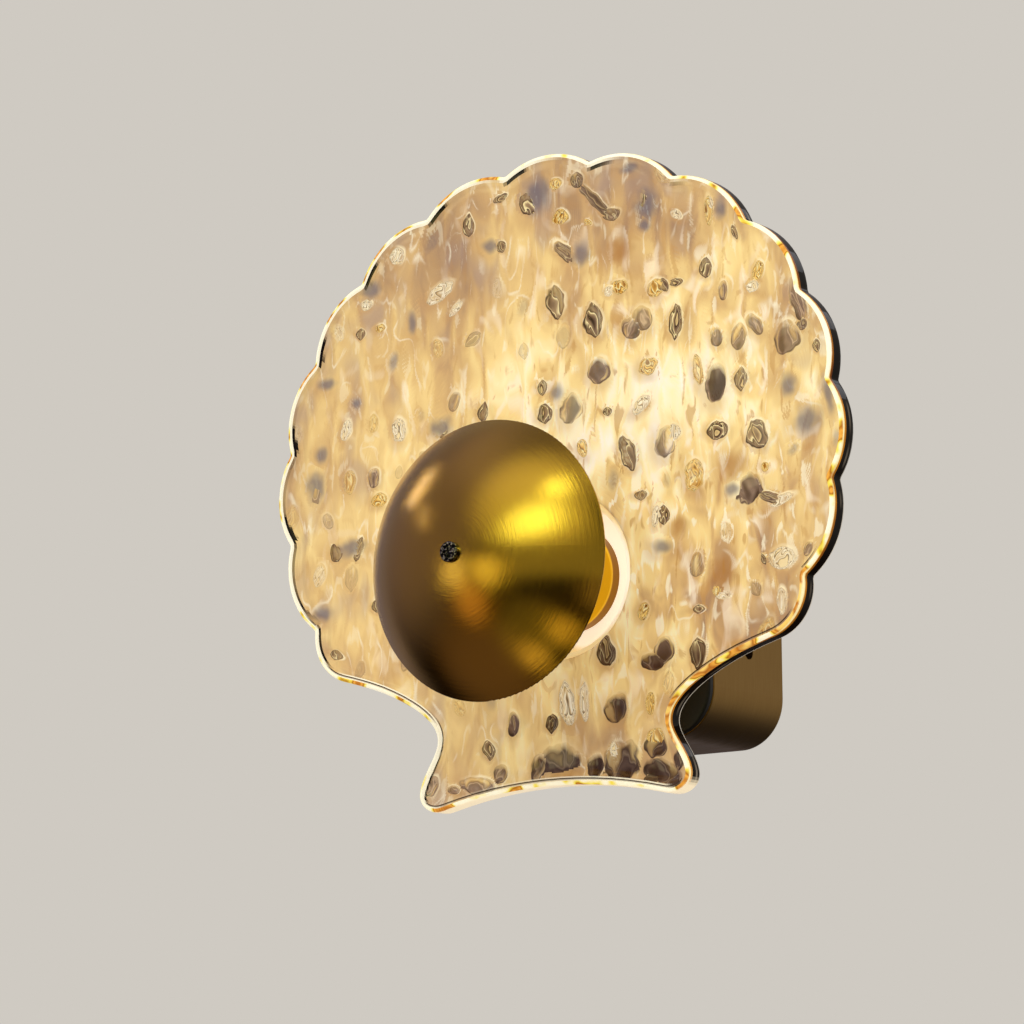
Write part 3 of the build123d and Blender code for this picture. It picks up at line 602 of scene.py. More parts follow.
def buildPanel(look):
    # a closed grid, one way round the scallop outline and the other round the section, whose face is
    # pressed in by the relief and whose back has a shallow wave of its own
    outline = readOutline(look)
    outward = outwardNormals(outline)
    low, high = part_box("shell_panel")
    front, back = low.y / mm, high.y / mm
    section = sectionRings(look, outline, outward, front, back)
    flat, level, kind = (np.array(part) for part in zip(*section))
    x, z = flat[..., 0], flat[..., 1]  # one row for each ring
    rings, around = x.shape
    level, isFace, isBack = level[:, None], (kind == "face")[:, None], (kind == "back")[:, None]
    inset = insetFrom(outline, x, z)
    fromAxis = np.hypot(x - lampAxis[0], z - lampAxis[1])

    dimples = castDimples(look, front)
    depth, nearest, which = reliefAt(x, z, dimples, look)
    step = look["slopeStep"]
    slopeX = (reliefAt(x + step, z, dimples, look)[0] - depth) / step
    slopeZ = (reliefAt(x, z + step, dimples, look)[0] - depth) / step
    nearHole, clearOfHole = (look["holeRadius"] + fade for fade in look["holeFade"])
    fade = smoothStep(inset, look["collar"], look["collar"] + look["reliefFade"])
    fade = fade * smoothStep(fromAxis, nearHole, clearOfHole)
    backFade = smoothStep(inset, look["collar"], look["collar"] + look["backFade"])
    backFade = backFade * smoothStep(fromAxis, *look["gasketFade"])
    wide, high, shiftX, shiftZ, seed = look["backWave"]
    backDepth = look["backDepth"] * valueNoise(x / wide + shiftX, z / high + shiftZ, seed)
    level = level + isFace * depth * fade - isBack * backDepth * backFade

    points = np.stack([x, level, z], -1).reshape(-1, 3)
    ring, spot = np.meshgrid(np.arange(rings), np.arange(around), indexing="ij")
    nextRing, nextSpot = (ring + 1) % rings, (spot + 1) % around
    faces = np.stack([ring * around + spot, nextRing * around + spot,
                      nextRing * around + nextSpot, ring * around + nextSpot], -1).reshape(-1, 4)
    isEdge = (kind == "edge") & (np.roll(kind, -1) != "back")
    # a face takes the dent that is nearest to one of its corners, so that the place in it is exact
    corner = np.argmin(nearest.ravel()[faces], axis=1)
    faceDent = which.ravel()[faces[np.arange(len(faces)), corner]]
    place = insideDimple(x.ravel()[faces], z.ravel()[faces], dimples, faceDent[:, None])
    chance = np.broadcast_to(dimples["chance"][faceDent, None], faces.shape)
    facing = np.column_stack([outward[:, 0], cuspShares(outline, look), outward[:, 1]])
    attributes = {
        "bend": np.stack([slopeX * fade, np.zeros(x.shape), slopeZ * fade], -1).reshape(-1, 3),
        "dentPlace": np.stack([*place, chance], -1).reshape(-1, 3),
        "dentKind": np.column_stack([dimples[key][faceDent] for key in ("shadeCloud", "amber", "pale")]),
        "dentLook": np.column_stack([dimples[key][faceDent] for key in ("dark", "lined", "pointed")]),
        "inset": np.clip(inset, 0, look["insetCap"]).ravel(),
        "facing": np.broadcast_to(facing, (rings, around, 3)).reshape(-1, 3),
        "intoEdge": (level - front).ravel(),
    }
    materials = [hammeredAcrylic(acrylicLook), polishedEdge(edgeLook)]
    panel = newPiece("scallop_panel", points, faces, "lamp", materials, attributes,
                     np.repeat(isEdge, around))
    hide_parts("shell_panel")
    print("panel:", len(faces) * 2, "triangles,", len(dimples["x"]), "dents")


def stretchedNoise(add, vector, across, along, reach, detail, distortion, shift):
    # noise whose patches are across by along mm, spread from -reach to reach
    spot = add("Mapping", {0: vector, 1: (shift, 0.0, shift), 3: (1 / across, 0.0, 1 / along)})
    noise = add("TexNoise", {"Vector": spot, "Scale": 1.0, "Detail": detail,
                             "Distortion": distortion})
    return add("MapRange", [noise, 0.28, 0.72, -reach, reach], clamp=False)


def glowAt(add, point, face, x, z, near, far, inner, outer):
    # a level that goes from inner to outer as the distance from a place on the face goes from near to far
    away = add("VectorMath", [point, (x, face, z)], operation="DISTANCE", out="Value")
    return add("MapRange", [away, near, far, inner, outer], interpolation_type="SMOOTHSTEP")


def folded(add, operation, values):
    # one arithmetic operation carried through a row of values
    result = values[0]
    for value in values[1:]:
        result = add("Math", [result, value], operation=operation)
    return result


acrylicLook = {
    "shader": {"Roughness": 0.08, "IOR": 1.49, "Transmission Weight": 0.12, "Emission Strength": 0.28},
    "refraction": 9.0,  # mm that the light behind slides for a slope of one
    "level": 0.40,  # brightness, from dusk at 0 to white at 1, before the patterns are added
    # patterns of noise: width and height of a patch in mm, how far its value goes either side of 0,
    # its detail and distortion, and a shift that keeps it apart from the others
    "streak": (4.4, 12.0, 0.27, 2.5, 0.6, 0),
    "patch": (15.0, 22.0, 0.13, 1.0, 0.0, 9),
    "veil": (8.0, 15.0, 0.9, 2.0, 0.0, 31),
    "flare": (3.6, 8.0, 1.0, 1.0, 0.8, 57),
    "stroke": (1.7, 5.5, 1.0, 1.5, 0.7, 17),
    "fold": (5.0, 12.0, 1.0, 1.0, 0.7, 73),
    "gaps": (6.0, 7.0, 1.0, 1.0, 0.0, 88),
    # what lies over the warm tones: its pattern, the values where it is absent and full, the most
    # that it covers, and its colour
    "layers": [
        ("veil", 0.0, 0.8, 0.55, "#a8948c"), ("flare", 0.35, 1.05, 0.74, "#fff6e2"),
        ("stroke", 0.45, 0.85, 0.78, "#fffbe0"), ("stroke", -0.40, -0.85, 0.62, "#be9050"),
    ],
    "foldTone": "#fffbe6",
    "foldWidth": 0.13,  # either side of 0 in the fold's noise
    "foldMost": 0.55,
    # pools of painted light and dusk: X and Z of the middle, the distances where the change starts and
    # ends, the level at each
    "streakPool": (22, 26, 20, 62, 1.1, 0.55),
    "veilPool": (10, 20, 24, 66, -0.75, 0.15),
    "livelyPool": (17, 28, 20, 54, 1.0, 0.35),
    "footPool": (14, -26, 18, 34, 0.70, 0.0),
    "pools": [
        (17, 38, 4, 54, 0.40, -0.04), (-30, 45, 4, 28, 0.12, 0), (-44, 20, 4, 26, 0.16, 0),
        (-10, -12, 4, 24, 0.24, 0), (44, 4, 8, 30, -0.10, 0), (24, -26, 6, 24, -0.14, 0),
        (14, 78, 6, 34, -0.17, 0), (-24, 72, 4, 22, -0.08, 0), (30, 14, 4, 24, -0.08, 0),
        (21, 69, 2, 12, -0.22, 0), (46, 69, 2, 12, -0.12, 0), (17, 20, 2, 13, -0.18, 0),
        (14, -8, 2, 20, 0.14, 0),
    ],
    "warmTones": [(0.12, "#a98a6c"), (0.30, "#cba978"), (0.46, "#e4c688"), (0.62, "#f6de9c"),
                  (0.80, "#fff3c4"), (1.0, "#fffcee")],
    "eyeTones": [(0.0, "#56422f"), (0.30, "#92795a"), (0.42, "#e4c88c"), (0.46, "#1f130c"),
                 (0.54, "#6a5442"), (0.70, "#9c8464"), (0.77, "#fff0b8"), (0.81, "#2e1c12"),
                 (0.92, "#8a735c"), (1.0, "#5a442f")],
    "blobTones": [(0.0, "#3c2a22"), (0.20, "#604c42"), (0.40, "#826c5e"), (0.54, "#66544e"),
                  (0.61, "#c8ae92"), (0.67, "#725d4e"), (0.84, "#b49058"), (1.0, "#f2d68e")],
    "goldTones": [(0.0, "#946220"), (0.22, "#d0a046"), (0.32, "#fff4b4"), (0.40, "#6e4414"),
                  (0.47, "#d09a3c"), (0.60, "#ffe48c"), (0.69, "#96621e"), (0.77, "#fff6bc"),
                  (0.88, "#7e501a")],
    "silverTones": [(0.0, "#c8b08c"), (0.24, "#fffce8"), (0.34, "#c4ae84"), (0.41, "#5c4630"),
                    (0.47, "#fff8dc"), (0.62, "#d8c498"), (0.74, "#fffae4"), (0.82, "#705634"),
                    (0.90, "#f2e0b0")],
    # what bends a dent: the width and height of a patch of noise in mm, and how far it bends the place
    # in the dent, in half widths and half heights
    "wobbleSize": (2.2, 3.0),
    "wobble": (0.9, 0.6, 0.0),
    "squeeze": 1.35,  # a dent shows its place divided by this less its reach squared
    "strandShape": (1.0, 0.42, 1.0),  # draws the strands in a dent out upright
    "strands": {"Scale": 1.0, "Detail": 0.6, "Distortion": 0.4},
    "fineStrands": {"Scale": 1.5, "Detail": 0.5, "Distortion": 0.9},
    "footTone": "#362418",  # painted shade that darkens the dents low on the panel
    # a dent's dark rim is painted shade, its bright lip a painted highlight, and its wide soft shadow
    # painted too
    "rimShadeTone": "#34241a",
    "lipHighlightTone": "#fff4cf",
    "shadowTone": "#c09868",
    # grey violet and amber clouds of painted shade
    "shadeCloudTone": "#5d6074",
    "amberShadeTone": "#a8743a",
    # painted light and shade of the border: black before each cusp, cream outside it, and a thin dark line
    "bandTone": "#0c0805",  # black border before each cusp
    "creamTone": "#fffbe4",
    "lineTone": "#3a2a1c",
    # mm from the outline: where the cream ends, where the black ends away from a cusp and just before
    # it, over how much it fades, and where the thin line starts and ends
    "creamEnd": (1.45, 1.55),
    "bandWidth": (1.88, 2.5),
    "bandFade": 0.22,
    "line": ((0.95, 1.05), (1.35, 1.2)),
}


def warmLight(add, point, face, broken, look):
    # the painted light in the face: upright streaks on wide patches, with pools of light and dusk. The
    # slope of the relief shifts the place that is seen, as a lens does
    bend = add("Attribute", attribute_name="bend", out="Vector")
    slide = add("VectorMath", {0: bend, "Scale": look["refraction"]}, operation="SCALE")
    seen = add("VectorMath", [point, slide], operation="ADD")
    patterns = {name: stretchedNoise(add, seen, *look[name])
                for name in ("streak", "veil", "flare", "stroke", "fold")}
    level = folded(add, "ADD", [
        look["level"],
        folded(add, "MULTIPLY", [patterns["streak"], glowAt(add, point, face, *look["streakPool"])]),
        stretchedNoise(add, point, *look["patch"]),
        *(glowAt(add, point, face, *pool) for pool in look["pools"]),
    ])
    lit = add("ValToRGB", [level], stops=look["warmTones"])
    # a grey violet veil where the face shows the dim room, as a painted reflection, then white flares and
    # strokes of painted light, and dusky strokes of painted shade between them, which fade away from the
    # liveliest part of the face
    dimRoom = glowAt(add, point, face, *look["veilPool"])
    patterns["veil"] = folded(add, "ADD", [patterns["veil"], dimRoom])
    lively = glowAt(add, point, face, *look["livelyPool"])
    for name, absent, full, most, over in look["layers"]:
        share = add("MapRange", [patterns[name], absent, full, 0.0, most],
                    interpolation_type="SMOOTHSTEP")
        if name != "veil":
            share = folded(add, "MULTIPLY", [share, lively])
        lit = add("Mix", {0: share, 6: lit, 7: over}, data_type="RGBA", out=2)
    # folds of light along the line where a noise goes through 0, broken up by another
    fold = add("Math", [patterns["fold"]], operation="ABSOLUTE")
    onFold = add("MapRange", [fold, 0.0, look["foldWidth"], look["foldMost"], 0.0])
    whole = add("MapRange", [broken, 0.0, 0.5])
    return add("Mix", {0: folded(add, "MULTIPLY", [onFold, whole]), 6: lit, 7: look["foldTone"]},
               data_type="RGBA", out=2)


def dented(add, point, face, broken, lit, look):
    # the dents: each is a small lens, so what it shows of the room, painted in as light and shade, is
    # squeezed towards its rim. Its reach goes from 0 in the middle to 1 at the rim, as in the relief
    place = add("Attribute", attribute_name="dentPlace", out="Vector")
    width, height = look["wobbleSize"]
    uneven = add("Mapping", {0: point, 3: (1 / width, 0.0, 1 / height)})
    wobble = add("TexNoise", {"Vector": uneven, "Scale": 1.0, "Detail": 1.0}, out="Color")
    bend = Vector(look["wobble"])
    place = add("VectorMath", [wobble, bend, place], operation="MULTIPLY_ADD")
    place = add("VectorMath", [place, bend / 2], operation="SUBTRACT")
    dentKind = add("Attribute", attribute_name="dentKind", out="Vector")
    dentLook = add("Attribute", attribute_name="dentLook", out="Vector")
    across, along, chance = add("SeparateXYZ", [place], out=None)
    shadeCloud, amber, pale = add("SeparateXYZ", [dentKind], out=None)
    dark, lined, pointed = add("SeparateXYZ", [dentLook], out=None)
    flat = add("VectorMath", [place, (1, 1, 0)], operation="MULTIPLY")
    away = add("VectorMath", [flat], operation="LENGTH", out="Value")
    wide = add("Math", [across], operation="ABSOLUTE")
    leaf = add("Math", [along, along, wide], operation="MULTIPLY_ADD")
    pointed = add("Math", [pointed, pointedShare], operation="MULTIPLY")
    reach = add("Mix", {0: pointed, 2: away, 3: leaf}, data_type="FLOAT")

    # inside: strands of painted light and shade that the squeezed place goes through, as the tones of each
    # kind of dent
    within = add("Math", [reach, 1.0], operation="MINIMUM")
    within = add("Math", [within, within], operation="MULTIPLY")
    within = add("Math", [look["squeeze"], within], operation="SUBTRACT")
    squeeze = add("Math", [1.0, within], operation="DIVIDE")
    lens = add("VectorMath", {0: flat, "Scale": squeeze}, operation="SCALE")
    lens = add("Mapping", {0: lens, 3: look["strandShape"]})
    ownPlace = add("Math", [chance, 90.0], operation="MULTIPLY")  # far from every other dent's
    strands, fine = (
        add("TexNoise", {"Vector": lens, "W": ownPlace, **look[key]}, noise_dimensions="4D")
        for key in ("strands", "fineStrands"))
    strands = add("MapRange", [strands, 0.30, 0.70])
    fine = add("MapRange", [fine, 0.28, 0.72])
    nested = add("Math", [reach, 0.45, strands], operation="MULTIPLY_ADD")
    upright = add("Math", [along, 0.18, strands], operation="MULTIPLY_ADD")
    eye, blob, golden, silver = (
        add("ValToRGB", [value], stops=look[tones])
        for value, tones in ((nested, "eyeTones"), (upright, "blobTones"), (fine, "goldTones"),
                             (fine, "silverTones")))
    # painted shade low on the panel
    low = glowAt(add, point, face, *look["footPool"])
    inside = blob
    for share, over in ((lined, eye), (low, look["footTone"]), (amber, golden), (pale, silver)):
        inside = add("Mix", {0: share, 6: inside, 7: over}, data_type="RGBA", out=2)

    # how far a dent covers the face: its foot is sharp, and the top of a soft one fades away. Low on
    # the panel the dents are firm and painted dark as shade, with hardly any lip
    topFade = add("MapRange", [along, -0.2, 0.9, 0.0, 0.55])
    fading = add("MapRange", [lined, 0.0, 0.6, topFade, 0.03])
    fading = add("Math", [0.98, fading], operation="SUBTRACT")
    inRim = add("MapRange", [reach, fading, 1.02, 1.0, 0.0])
    notShadeCloud = add("MapRange", [shadeCloud, 0.0, 0.5, 1.0, 0.0])
    firm = folded(add, "ADD", [folded(add, "MULTIPLY", [chance, 0.25]), 0.85])
    thin = add("MapRange", [strands, 0.60, 0.95, 1.0, 0.50])
    footFirm = add("MapRange", [low, 0.0, 0.7, 1.0, 1.45])
    footSoft = add("MapRange", [low, 0.0, 0.7, 1.0, 0.25])
    covers = folded(add, "MULTIPLY", [inRim, dark, notShadeCloud, firm, thin, footFirm])

    # a dark rim of painted shade at the foot and left of it, and a bright lip of painted highlight on the
    # other side, both broken in places
    footSide = folded(add, "ADD", [folded(add, "MULTIPLY", [across, -0.8]),
                                   folded(add, "MULTIPLY", [along, -0.7])])
    rimSide = add("MapRange", [footSide, -0.5, 0.7, 0.15, 1.0])
    lipSide = add("MapRange", [footSide, 0.3, -0.7, 0.0, 0.9])
    tinted = folded(add, "ADD", [amber, pale])
    plain = add("MapRange", [tinted, 0.0, 1.0, 1.0, 0.15])
    outlined = add("MapRange", {0: lined, 3: 0.45, 4: 0.95})
    unbroken = add("MapRange", [broken, -0.5, 0.3, 0.3])
    rimStarts, rimEnds, lipStarts, lipEnds = (
        add("MapRange", [reach, none, full])
        for none, full in ((0.84, 0.95), (1.05, 0.97), (0.98, 1.06), (1.36, 1.06)))
    rim = folded(add, "MULTIPLY", [rimStarts, rimEnds, dark, notShadeCloud, rimSide, plain, outlined])
    lip = folded(add, "MULTIPLY", [lipEnds, lipStarts, dark, notShadeCloud, lipSide, footSoft, unbroken])

    # the grey violet and the amber clouds are painted shade with no rim, and every dent lies in a wide soft
    # painted shadow
    cloud, shadow = (
        add("MapRange", [reach, none, full], interpolation_type="SMOOTHSTEP")
        for none, full in ((1.1, 0.2), (2.3, 1.0)))
    cloud = folded(add, "MULTIPLY", [cloud, shadeCloud, dark])
    shadow = folded(add, "MULTIPLY", [shadow, dark, rimSide, 0.5])
    cloudTone = add("Mix", {0: amber, 6: look["shadeCloudTone"], 7: look["amberShadeTone"]},
                    data_type="RGBA", out=2)
    for share, over in ((shadow, look["shadowTone"]), (lip, look["lipHighlightTone"]), (covers, inside),
                        (rim, look["rimShadeTone"]), (cloud, cloudTone)):
        lit = add("Mix", {0: share, 6: lit, 7: over}, data_type="RGBA", out=2)
    return lit


def bordered(add, lit, look):
    # the border next to the polished edge: black painted shade before each cusp where the edge turns the
    # light away, on the -X side, cream painted light outside it, and a thin dark line of painted shade
    # along the lower lobes
    inset = add("Attribute", attribute_name="inset", out="Fac")
    facing = add("Attribute", attribute_name="facing", out="Vector")
    facingX, beforeCusp, facingZ = add("SeparateXYZ", [facing], out=None)
    turned = add("MapRange", [facingX, 0.25, -0.15])
    notLow = add("MapRange", [facingZ, -0.80, -0.55])
    low = add("MapRange", [facingZ, -0.55, -0.75])
    narrow, wide = look["bandWidth"]
    bandWidth = add("MapRange", {0: beforeCusp, 3: narrow, 4: wide})
    within = add("Math", [bandWidth, inset], operation="SUBTRACT")
    within = add("MapRange", [within, 0.0, look["bandFade"]])
    pastCream, cream, lineStarts, lineEnds = (
        add("MapRange", [inset, none, full])
        for none, full in (look["creamEnd"], look["creamEnd"][::-1], *look["line"]))
    for tone, shares in {"bandTone": (pastCream, within, turned, notLow), "creamTone": (cream, turned),
                         "lineTone": (lineStarts, lineEnds, low)}.items():
        share = folded(add, "MULTIPLY", shares)
        lit = add("Mix", {0: share, 6: lit, 7: look[tone]}, data_type="RGBA", out=2)
    return lit


def hammeredAcrylic(look):
    # clear cast acrylic, hot pressed on a hammered plate and lit through its edge: painted warm light
    # caught in upright ripples, with dents that show brown outlines of painted shade and a bright lip of
    # painted light
    material, add, point = newMaterial("hot pressed hammered acrylic, warm lit")
    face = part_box("shell_panel")[0].y / mm
    broken = stretchedNoise(add, point, *look["gaps"])
    lit = warmLight(add, point, face, broken, look)
    lit = dented(add, point, face, broken, lit, look)
    lit = bordered(add, lit, look)
    return finishMaterial(material, {**look["shader"], "Base Color": lit, "Emission Color": lit})


edgeLook = {
    "shader": {"Roughness": 0.05, "IOR": 1.49, "Specular IOR Level": 0.06, "Emission Strength": 0.35},
    "depth": 4.0,  # mm from the front corner over which the wall's tones run
    "wallTones": [(0.0, "#fff6cc"), (0.10, "#fff1b4"), (0.14, "#c9821f"), (0.20, "#6a3814"),
                  (0.25, "#140c08"), (0.47, "#0c0806"), (0.51, "#8d8171"), (0.55, "#0f0a07"),
                  (0.84, "#120c08")],
    "backTone": "#d8cfc0",
    "backLine": (0.76, 0.82),  # where the pale line starts along the wall's tones
    "backLineZ": (34.0, 12.0),  # mm, from where it is absent down to where it is full
    "footTone": "#fff0d0",
    "footZ": (-15.0, -19.0),  # the same for the foot's light on the +X side
    "bevel": (0.30, 0.45),  # mm from the front where the sparks end
    # patterns of noise, as in the acrylic's
    "wallNoise": (11.0, 11.0, 0.05, 1.0, 0.0, 0),
    "bevelNoise": (14.0, 14.0, 0.30, 0.0, 0.0, 5),
    "sparkSize": 6.25,  # mm
    "golden": 0.17,  # how much further along their tones the sparks are low on the +X side
    "goldenZ": (34.0, 4.0),
    "sparkTones": [(0.40, "#fffbe6"), (0.53, "#fff9dc"), (0.58, "#f7e25a"), (0.61, "#b06a1e"),
                   (0.64, "#f0b04a"), (0.70, "#b8702a"), (0.76, "#f6cf70")],
}


def polishedEdge(look):
    # flame polished acrylic edge, coloured with painted light: a bright bevel with yellow and orange sparks
    # in front, then a dark wall that shows the room as a painted reflection, and a thin pale line of
    # painted light at the back corner
    material, add, point = newMaterial("flame polished acrylic edge")
    into = add("Attribute", attribute_name="intoEdge", out="Fac")
    facing = add("Attribute", attribute_name="facing", out="Vector")
    facingX, _, facingZ = add("SeparateXYZ", [facing], out=None)
    height = add("SeparateXYZ", [point], out="Z")
    where = folded(add, "ADD", [add("MapRange", [into, 0.0, look["depth"]]),
                                stretchedNoise(add, point, *look["wallNoise"])])
    wall = add("ValToRGB", [where], stops=look["wallTones"])
    backLine = folded(add, "MULTIPLY", [add("MapRange", [where, *look["backLine"]]),
                                        add("MapRange", [height, *look["backLineZ"]])])
    low = add("MapRange", [facingZ, -0.35, -0.75])
    left = add("MapRange", [facingX, 0.15, -0.1])
    foot = add("MapRange", [height, *look["footZ"]])
    leftOrFoot = add("Math", [left, foot], operation="MAXIMUM")
    footLight = folded(add, "MULTIPLY", [low, leftOrFoot])
    for share, over in ((backLine, look["backTone"]), (footLight, look["footTone"])):
        wall = add("Mix", {0: share, 6: wall, 7: over}, data_type="RGBA", out=2)
    patches = add("TexNoise", {"Vector": point, "Scale": 1 / look["sparkSize"], "Detail": 2.0})
    golden = folded(add, "MULTIPLY", [add("MapRange", [height, *look["goldenZ"]]), look["golden"],
                                      add("MapRange", [facingX, 0.0, 0.4])])
    spark = add("ValToRGB", [folded(add, "ADD", [patches, golden])], stops=look["sparkTones"])
    uneven = folded(add, "ADD", [into, stretchedNoise(add, point, *look["bevelNoise"])])
    bevel = add("MapRange", [uneven, *look["bevel"], 1.0, 0.0])
    colour = add("Mix", {0: bevel, 6: wall, 7: spark}, data_type="RGBA", out=2)
    return finishMaterial(material, {**look["shader"], "Base Color": colour, "Emission Color": colour})


buildPanel(panelLook)
print("panel built")


def roundAxis(add, point):
    # a place seen from the lamp's axis: its X, its Z and its distance from the axis, in mm
    fromAxis = add("VectorMath", [point, (0, 0, lampAxis[1])], operation="SUBTRACT")
    x, _, z = add("SeparateXYZ", [fromAxis], out=None)
    flat = add("VectorMath", [fromAxis, (1, 0, 1)], operation="MULTIPLY")
    return x, z, add("VectorMath", [flat], operation="LENGTH", out="Value")


brassLook = {
    "shader": {"Base Color": "#cfa63c", "Metallic": 1.0, "Anisotropic": 0.35, "Coat Weight": 0.7,
               "Coat Roughness": 0.20},
    "roughness": (0.13, 0.20),
    "arcWidth": 1 / 2.6,  # mm across the lathe's arcs
    "arcDepth": 0.08,  # mm
}


def spunBrass(look):
    # brass sheet spun on a lathe and satin lacquered: short fine arcs round its axis, so that
    # highlights break up into streaks that run out from the middle. The noise is read at distance
    # and angle, and the arcs are drawn coarser than the real 0.05 mm so that they show
    material, add, point = newMaterial("spun satin brass")
    x, z, radius = roundAxis(add, point)
    angle = add("Math", [z, x], operation="ARCTAN2")
    turned = add("CombineXYZ", {"X": radius, "Y": angle})
    arcs = add("TexNoise", {"Vector": turned, "Scale": 1 / look["arcWidth"], "Detail": 5.0,
                            "Roughness": 0.7})
    return finishMaterial(material, {
        **look["shader"],
        "Roughness": add("MapRange", [arcs, 0.3, 0.7, *look["roughness"]]),
        "Tangent": add("Tangent", direction_type="RADIAL", axis="Y"),
        "Normal": add("Bump", {"Height": arcs, "Strength": 0.42,
                               "Distance": look["arcDepth"] * mm}),
    })


flangeLook = {
    "shader": {"Metallic": 1.0, "Roughness": 0.38, "Emission Strength": 0.6},
    # the side's darker colour is painted shade, and both glows are painted light
    "face": "#b8903c",
    "side": "#33200a",
    "faceGlow": "#eeb018",
    "sideGlow": "#a8680c",
    "corner": (0.1, 0.5),  # mm behind the face over which it turns into the side
    "markWidth": 0.25,  # mm between the tool's marks
    "markDepth": 0.03,
}


def turnedFlange(look):
    # a turned brass washer: its face is buffed pale gold, and its side is painted darker as shade. Both
    # carry a painted glow of light. The tool's marks are rings, so the noise is read at the distance from
    # the axis alone
    material, add, point = newMaterial("turned brass flange")
    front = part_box("stem_flange")[0].y / mm
    depth = add("SeparateXYZ", [point], out="Y")
    ends, starts = look["corner"]
    side = add("MapRange", [depth, front + ends, front + starts])
    turned = add("CombineXYZ", {"X": roundAxis(add, point)[2]})
    marks = add("TexNoise", {"Vector": turned, "Scale": 1 / look["markWidth"], "Detail": 3.0})
    colour, glow = (add("Mix", {0: side, 6: look[face], 7: look[edge]}, data_type="RGBA", out=2)
                    for face, edge in (("face", "side"), ("faceGlow", "sideGlow")))
    bump = add("Bump", {"Height": marks, "Strength": 0.2, "Distance": look["markDepth"] * mm})
    return finishMaterial(material, {**look["shader"], "Base Color": colour, "Emission Color": glow,
                                     "Normal": bump})


screwLook = {
    "shader": {"Metallic": 1.0, "Roughness": 0.18},
    # the black head's tones, with a narrow band of painted white glints
    "tones": [(0.46, "#141416"), (0.53, "#38383c"), (0.57, "#e6e4e2"), (0.62, "#29292c")],
    "glintSpotSize": 0.625,  # mm
    "glintSpotDepth": 0.15,
}


def blackenedScrew(look):
    # a small cross head screw, black nickel plated, with painted white glints in spots of noise over the
    # black
    material, add, point = newMaterial("black nickel plated screw")
    glintSpots = add("TexNoise", {"Vector": point, "Scale": 1 / look["glintSpotSize"], "Detail": 3.0,
                            "Roughness": 0.7})
    colour = add("ValToRGB", [glintSpots], stops=look["tones"])
    bump = add("Bump", {"Height": glintSpots, "Strength": 0.8, "Distance": look["glintSpotDepth"] * mm})
    return finishMaterial(material, {**look["shader"], "Base Color": colour, "Normal": bump})


opalLook = {
    "shader": {"Roughness": 0.35, "Emission Strength": 0.55},
    "lit": "#fff6e2",
    "dim": "#e6cf98",
    "middle": (2.7, -0.3),  # X and Z of the bright part's middle, in mm from the lamp's axis
    "fade": (11.5, 12.6),  # mm from there
    "cloud": (2.0, 2.0, 0.25, 2.0, 0.0, 0),  # noise that moves the fade, as in the acrylic's
}


def litOpal(look):
    # opal acrylic with the lamp behind it: white where the light comes straight through, and
    # fading to cream where the cup's wall is further from the diodes
    material, add, point = newMaterial("moulded opal acrylic, lit")
    asideX, asideZ = look["middle"]
    middle = (asideX, 0, lampAxis[1] + asideZ)
    level = add("VectorMath", [point, middle], operation="SUBTRACT")
    flat = add("VectorMath", [level, (1, 0, 1)], operation="MULTIPLY")
    away = add("VectorMath", [flat], operation="LENGTH", out="Value")
    away = folded(add, "ADD", [away, stretchedNoise(add, point, *look["cloud"])])
    fade = add("MapRange", [away, *look["fade"]])
    glow = add("Mix", {0: fade, 6: look["lit"], 7: look["dim"]}, data_type="RGBA", out=2)
    return finishMaterial(material, {**look["shader"], "Base Color": glow, "Emission Color": glow})


grains = {"metal": 0.5, "metalDepth": 0.05, "plastic": 1 / 3, "plasticDepth": 0.06}  # mm


def plainMetal(name, colour, roughness, grain=(1.0, 1.0, 1.0), grainStrength=0.1, metallic=1.0):
    # a turned, rolled or plated metal: its grain is noise half a mm wide, coarser than the real one so
    # that it shows, and stretched the way the tool went. It is a little duller in the grain's hollows
    material, add, point = newMaterial(name)
    grained = add("Mapping", {0: point, 3: grain})
    noise = add("TexNoise", {"Vector": grained, "Scale": 1 / grains["metal"], "Detail": 4.0})
    rough = add("MapRange", [noise, 0.3, 0.7, roughness * 0.8, roughness * 1.25])
    return finishMaterial(material, {
        "Base Color": colour,
        "Metallic": metallic,
        "Roughness": rough,
        "Normal": add("Bump", {"Height": noise, "Strength": grainStrength,
                               "Distance": grains["metalDepth"] * mm}),
    })


def plainPlastic(name, colour, roughness, glow=0.0):
    # a moulded or coated surface: an even spark eroded grain, a little lighter on its tops, and a third
    # of a mm wide, coarser than the real one so that it shows
    material, add, point = newMaterial(name)
    grain = add("TexNoise", {"Vector": point, "Scale": 1 / grains["plastic"], "Detail": 3.0})
    shade = add("MapRange", [grain, 0.3, 0.7, 0.92, 1.08])
    shaded = add("VectorMath", {0: linear(colour)[:3], "Scale": shade}, operation="SCALE")
    return finishMaterial(material, {
        "Base Color": shaded,
        "Roughness": roughness,
        "Normal": add("Bump", {"Height": grain, "Strength": 0.15,
                               "Distance": grains["plasticDepth"] * mm}),
        "Emission Color": colour,
        "Emission Strength": glow,
    })


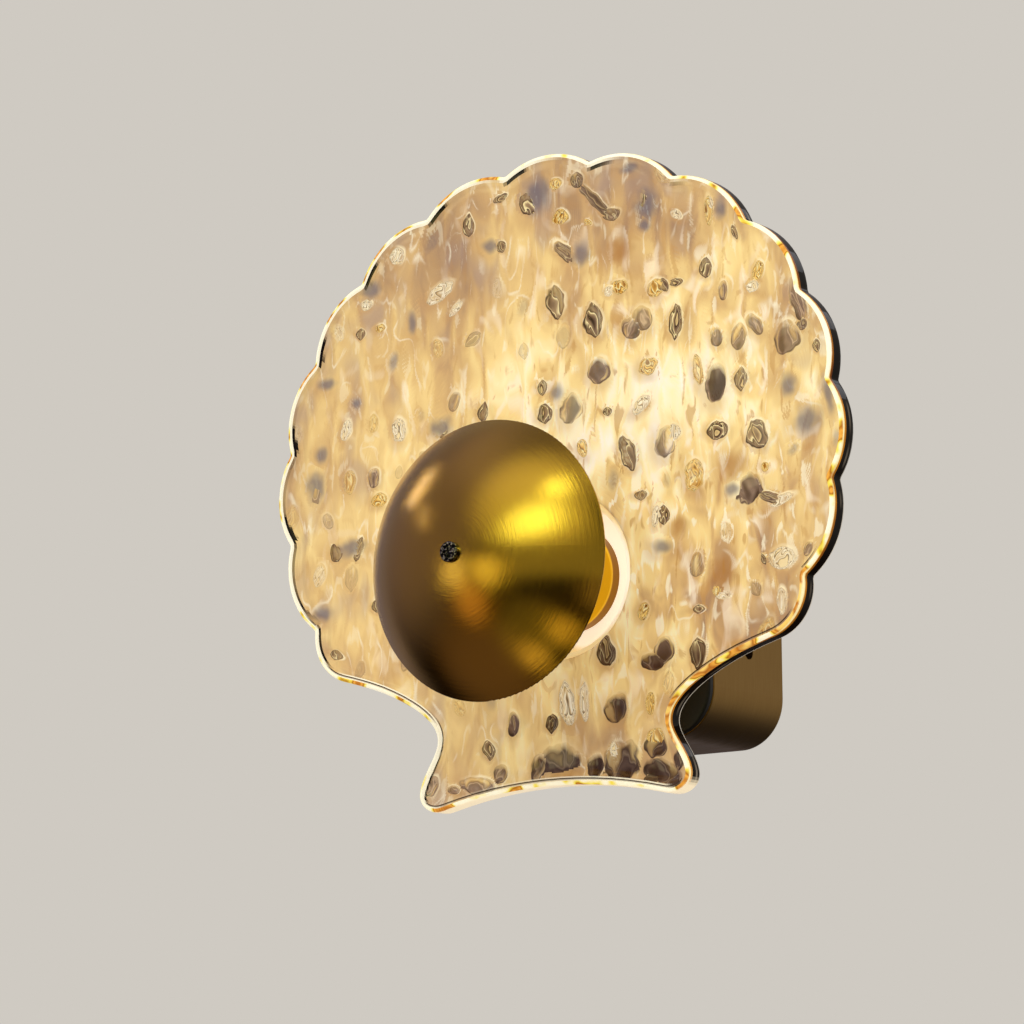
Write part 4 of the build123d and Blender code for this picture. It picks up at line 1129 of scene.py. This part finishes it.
finishes = {  # one for each of the record's material slots: name, colour, roughness, then the rest
    # a warm sheen that runs round the body
    "sleeve_brass": plainMetal("satin brass sleeve, brushed round", "#93713a", 0.42, (0.1, 3.0, 0.1), 0.15),
    # dull black with soft wide highlights
    "black_plastic": plainPlastic("black ABS, spark eroded", "#0e0c0a", 0.55),
    # cool grey and slightly hazy
    "steel": plainMetal("zinc plated steel", "#9a9c9c", 0.38, metallic=0.6),
    # a warm pale shine, drawn lengthwise
    "blade_nickel": plainMetal("nickel plated brass blade", "#c4bfae", 0.34, (1.0, 0.2, 1.0), metallic=0.6),
    # glossy leaf green
    "circuit_board": plainPlastic("green solder mask on glass epoxy", "#1d5b33", 0.35),
    # dull charcoal
    "component_black": plainPlastic("black epoxy package", "#1b1b1c", 0.5),
    # half glossy strong yellow
    "film_yellow": plainPlastic("yellow film capacitor case", "#d9a521", 0.4),
    # blue black with a tight highlight, as shrunk sleeve has
    "can_aluminium": plainPlastic("black sleeved capacitor can", "#22252c", 0.35),
    # chalky dark grey
    "ferrite": plainPlastic("ground ferrite drum", "#3a3a3c", 0.65),
    # bright off white that throws the light forwards
    "white_board": plainPlastic("white solder mask", "#ecebe4", 0.4),
    # glowing yellow dots
    "led": plainPlastic("yellow phosphor over the diode", "#ffd98a", 0.5, glow=1.0),
    # pink under a silvery skin
    "lead_copper": plainMetal("tinned copper lead", "#b9876a", 0.35),
    "opal_plastic": litOpal(opalLook),
    # milky and slightly yellow
    "silicone": plainPlastic("clear silicone washer", "#d8d2c4", 0.5),
    # bright gold with fine rings
    "polished_brass": plainMetal("turned polished brass", "#e3ad3c", 0.30, (0.3, 3.0, 0.3), 0.05),
    "spun_brass": spunBrass(brassLook),
}
ownFinish = {  # nodes that look unlike the rest of their slot
    "stem_flange": turnedFlange(flangeLook),
    "dome_screw": blackenedScrew(screwLook),
}
for name, node in nodes.items():
    if name != "shell_panel":
        slotName = node.material_slots[0].material.name.split(".")[0]
        node.material_slots[0].material = ownFinish.get(name, finishes[slotName])
print("finishes given to", len(nodes) - 1, "nodes")
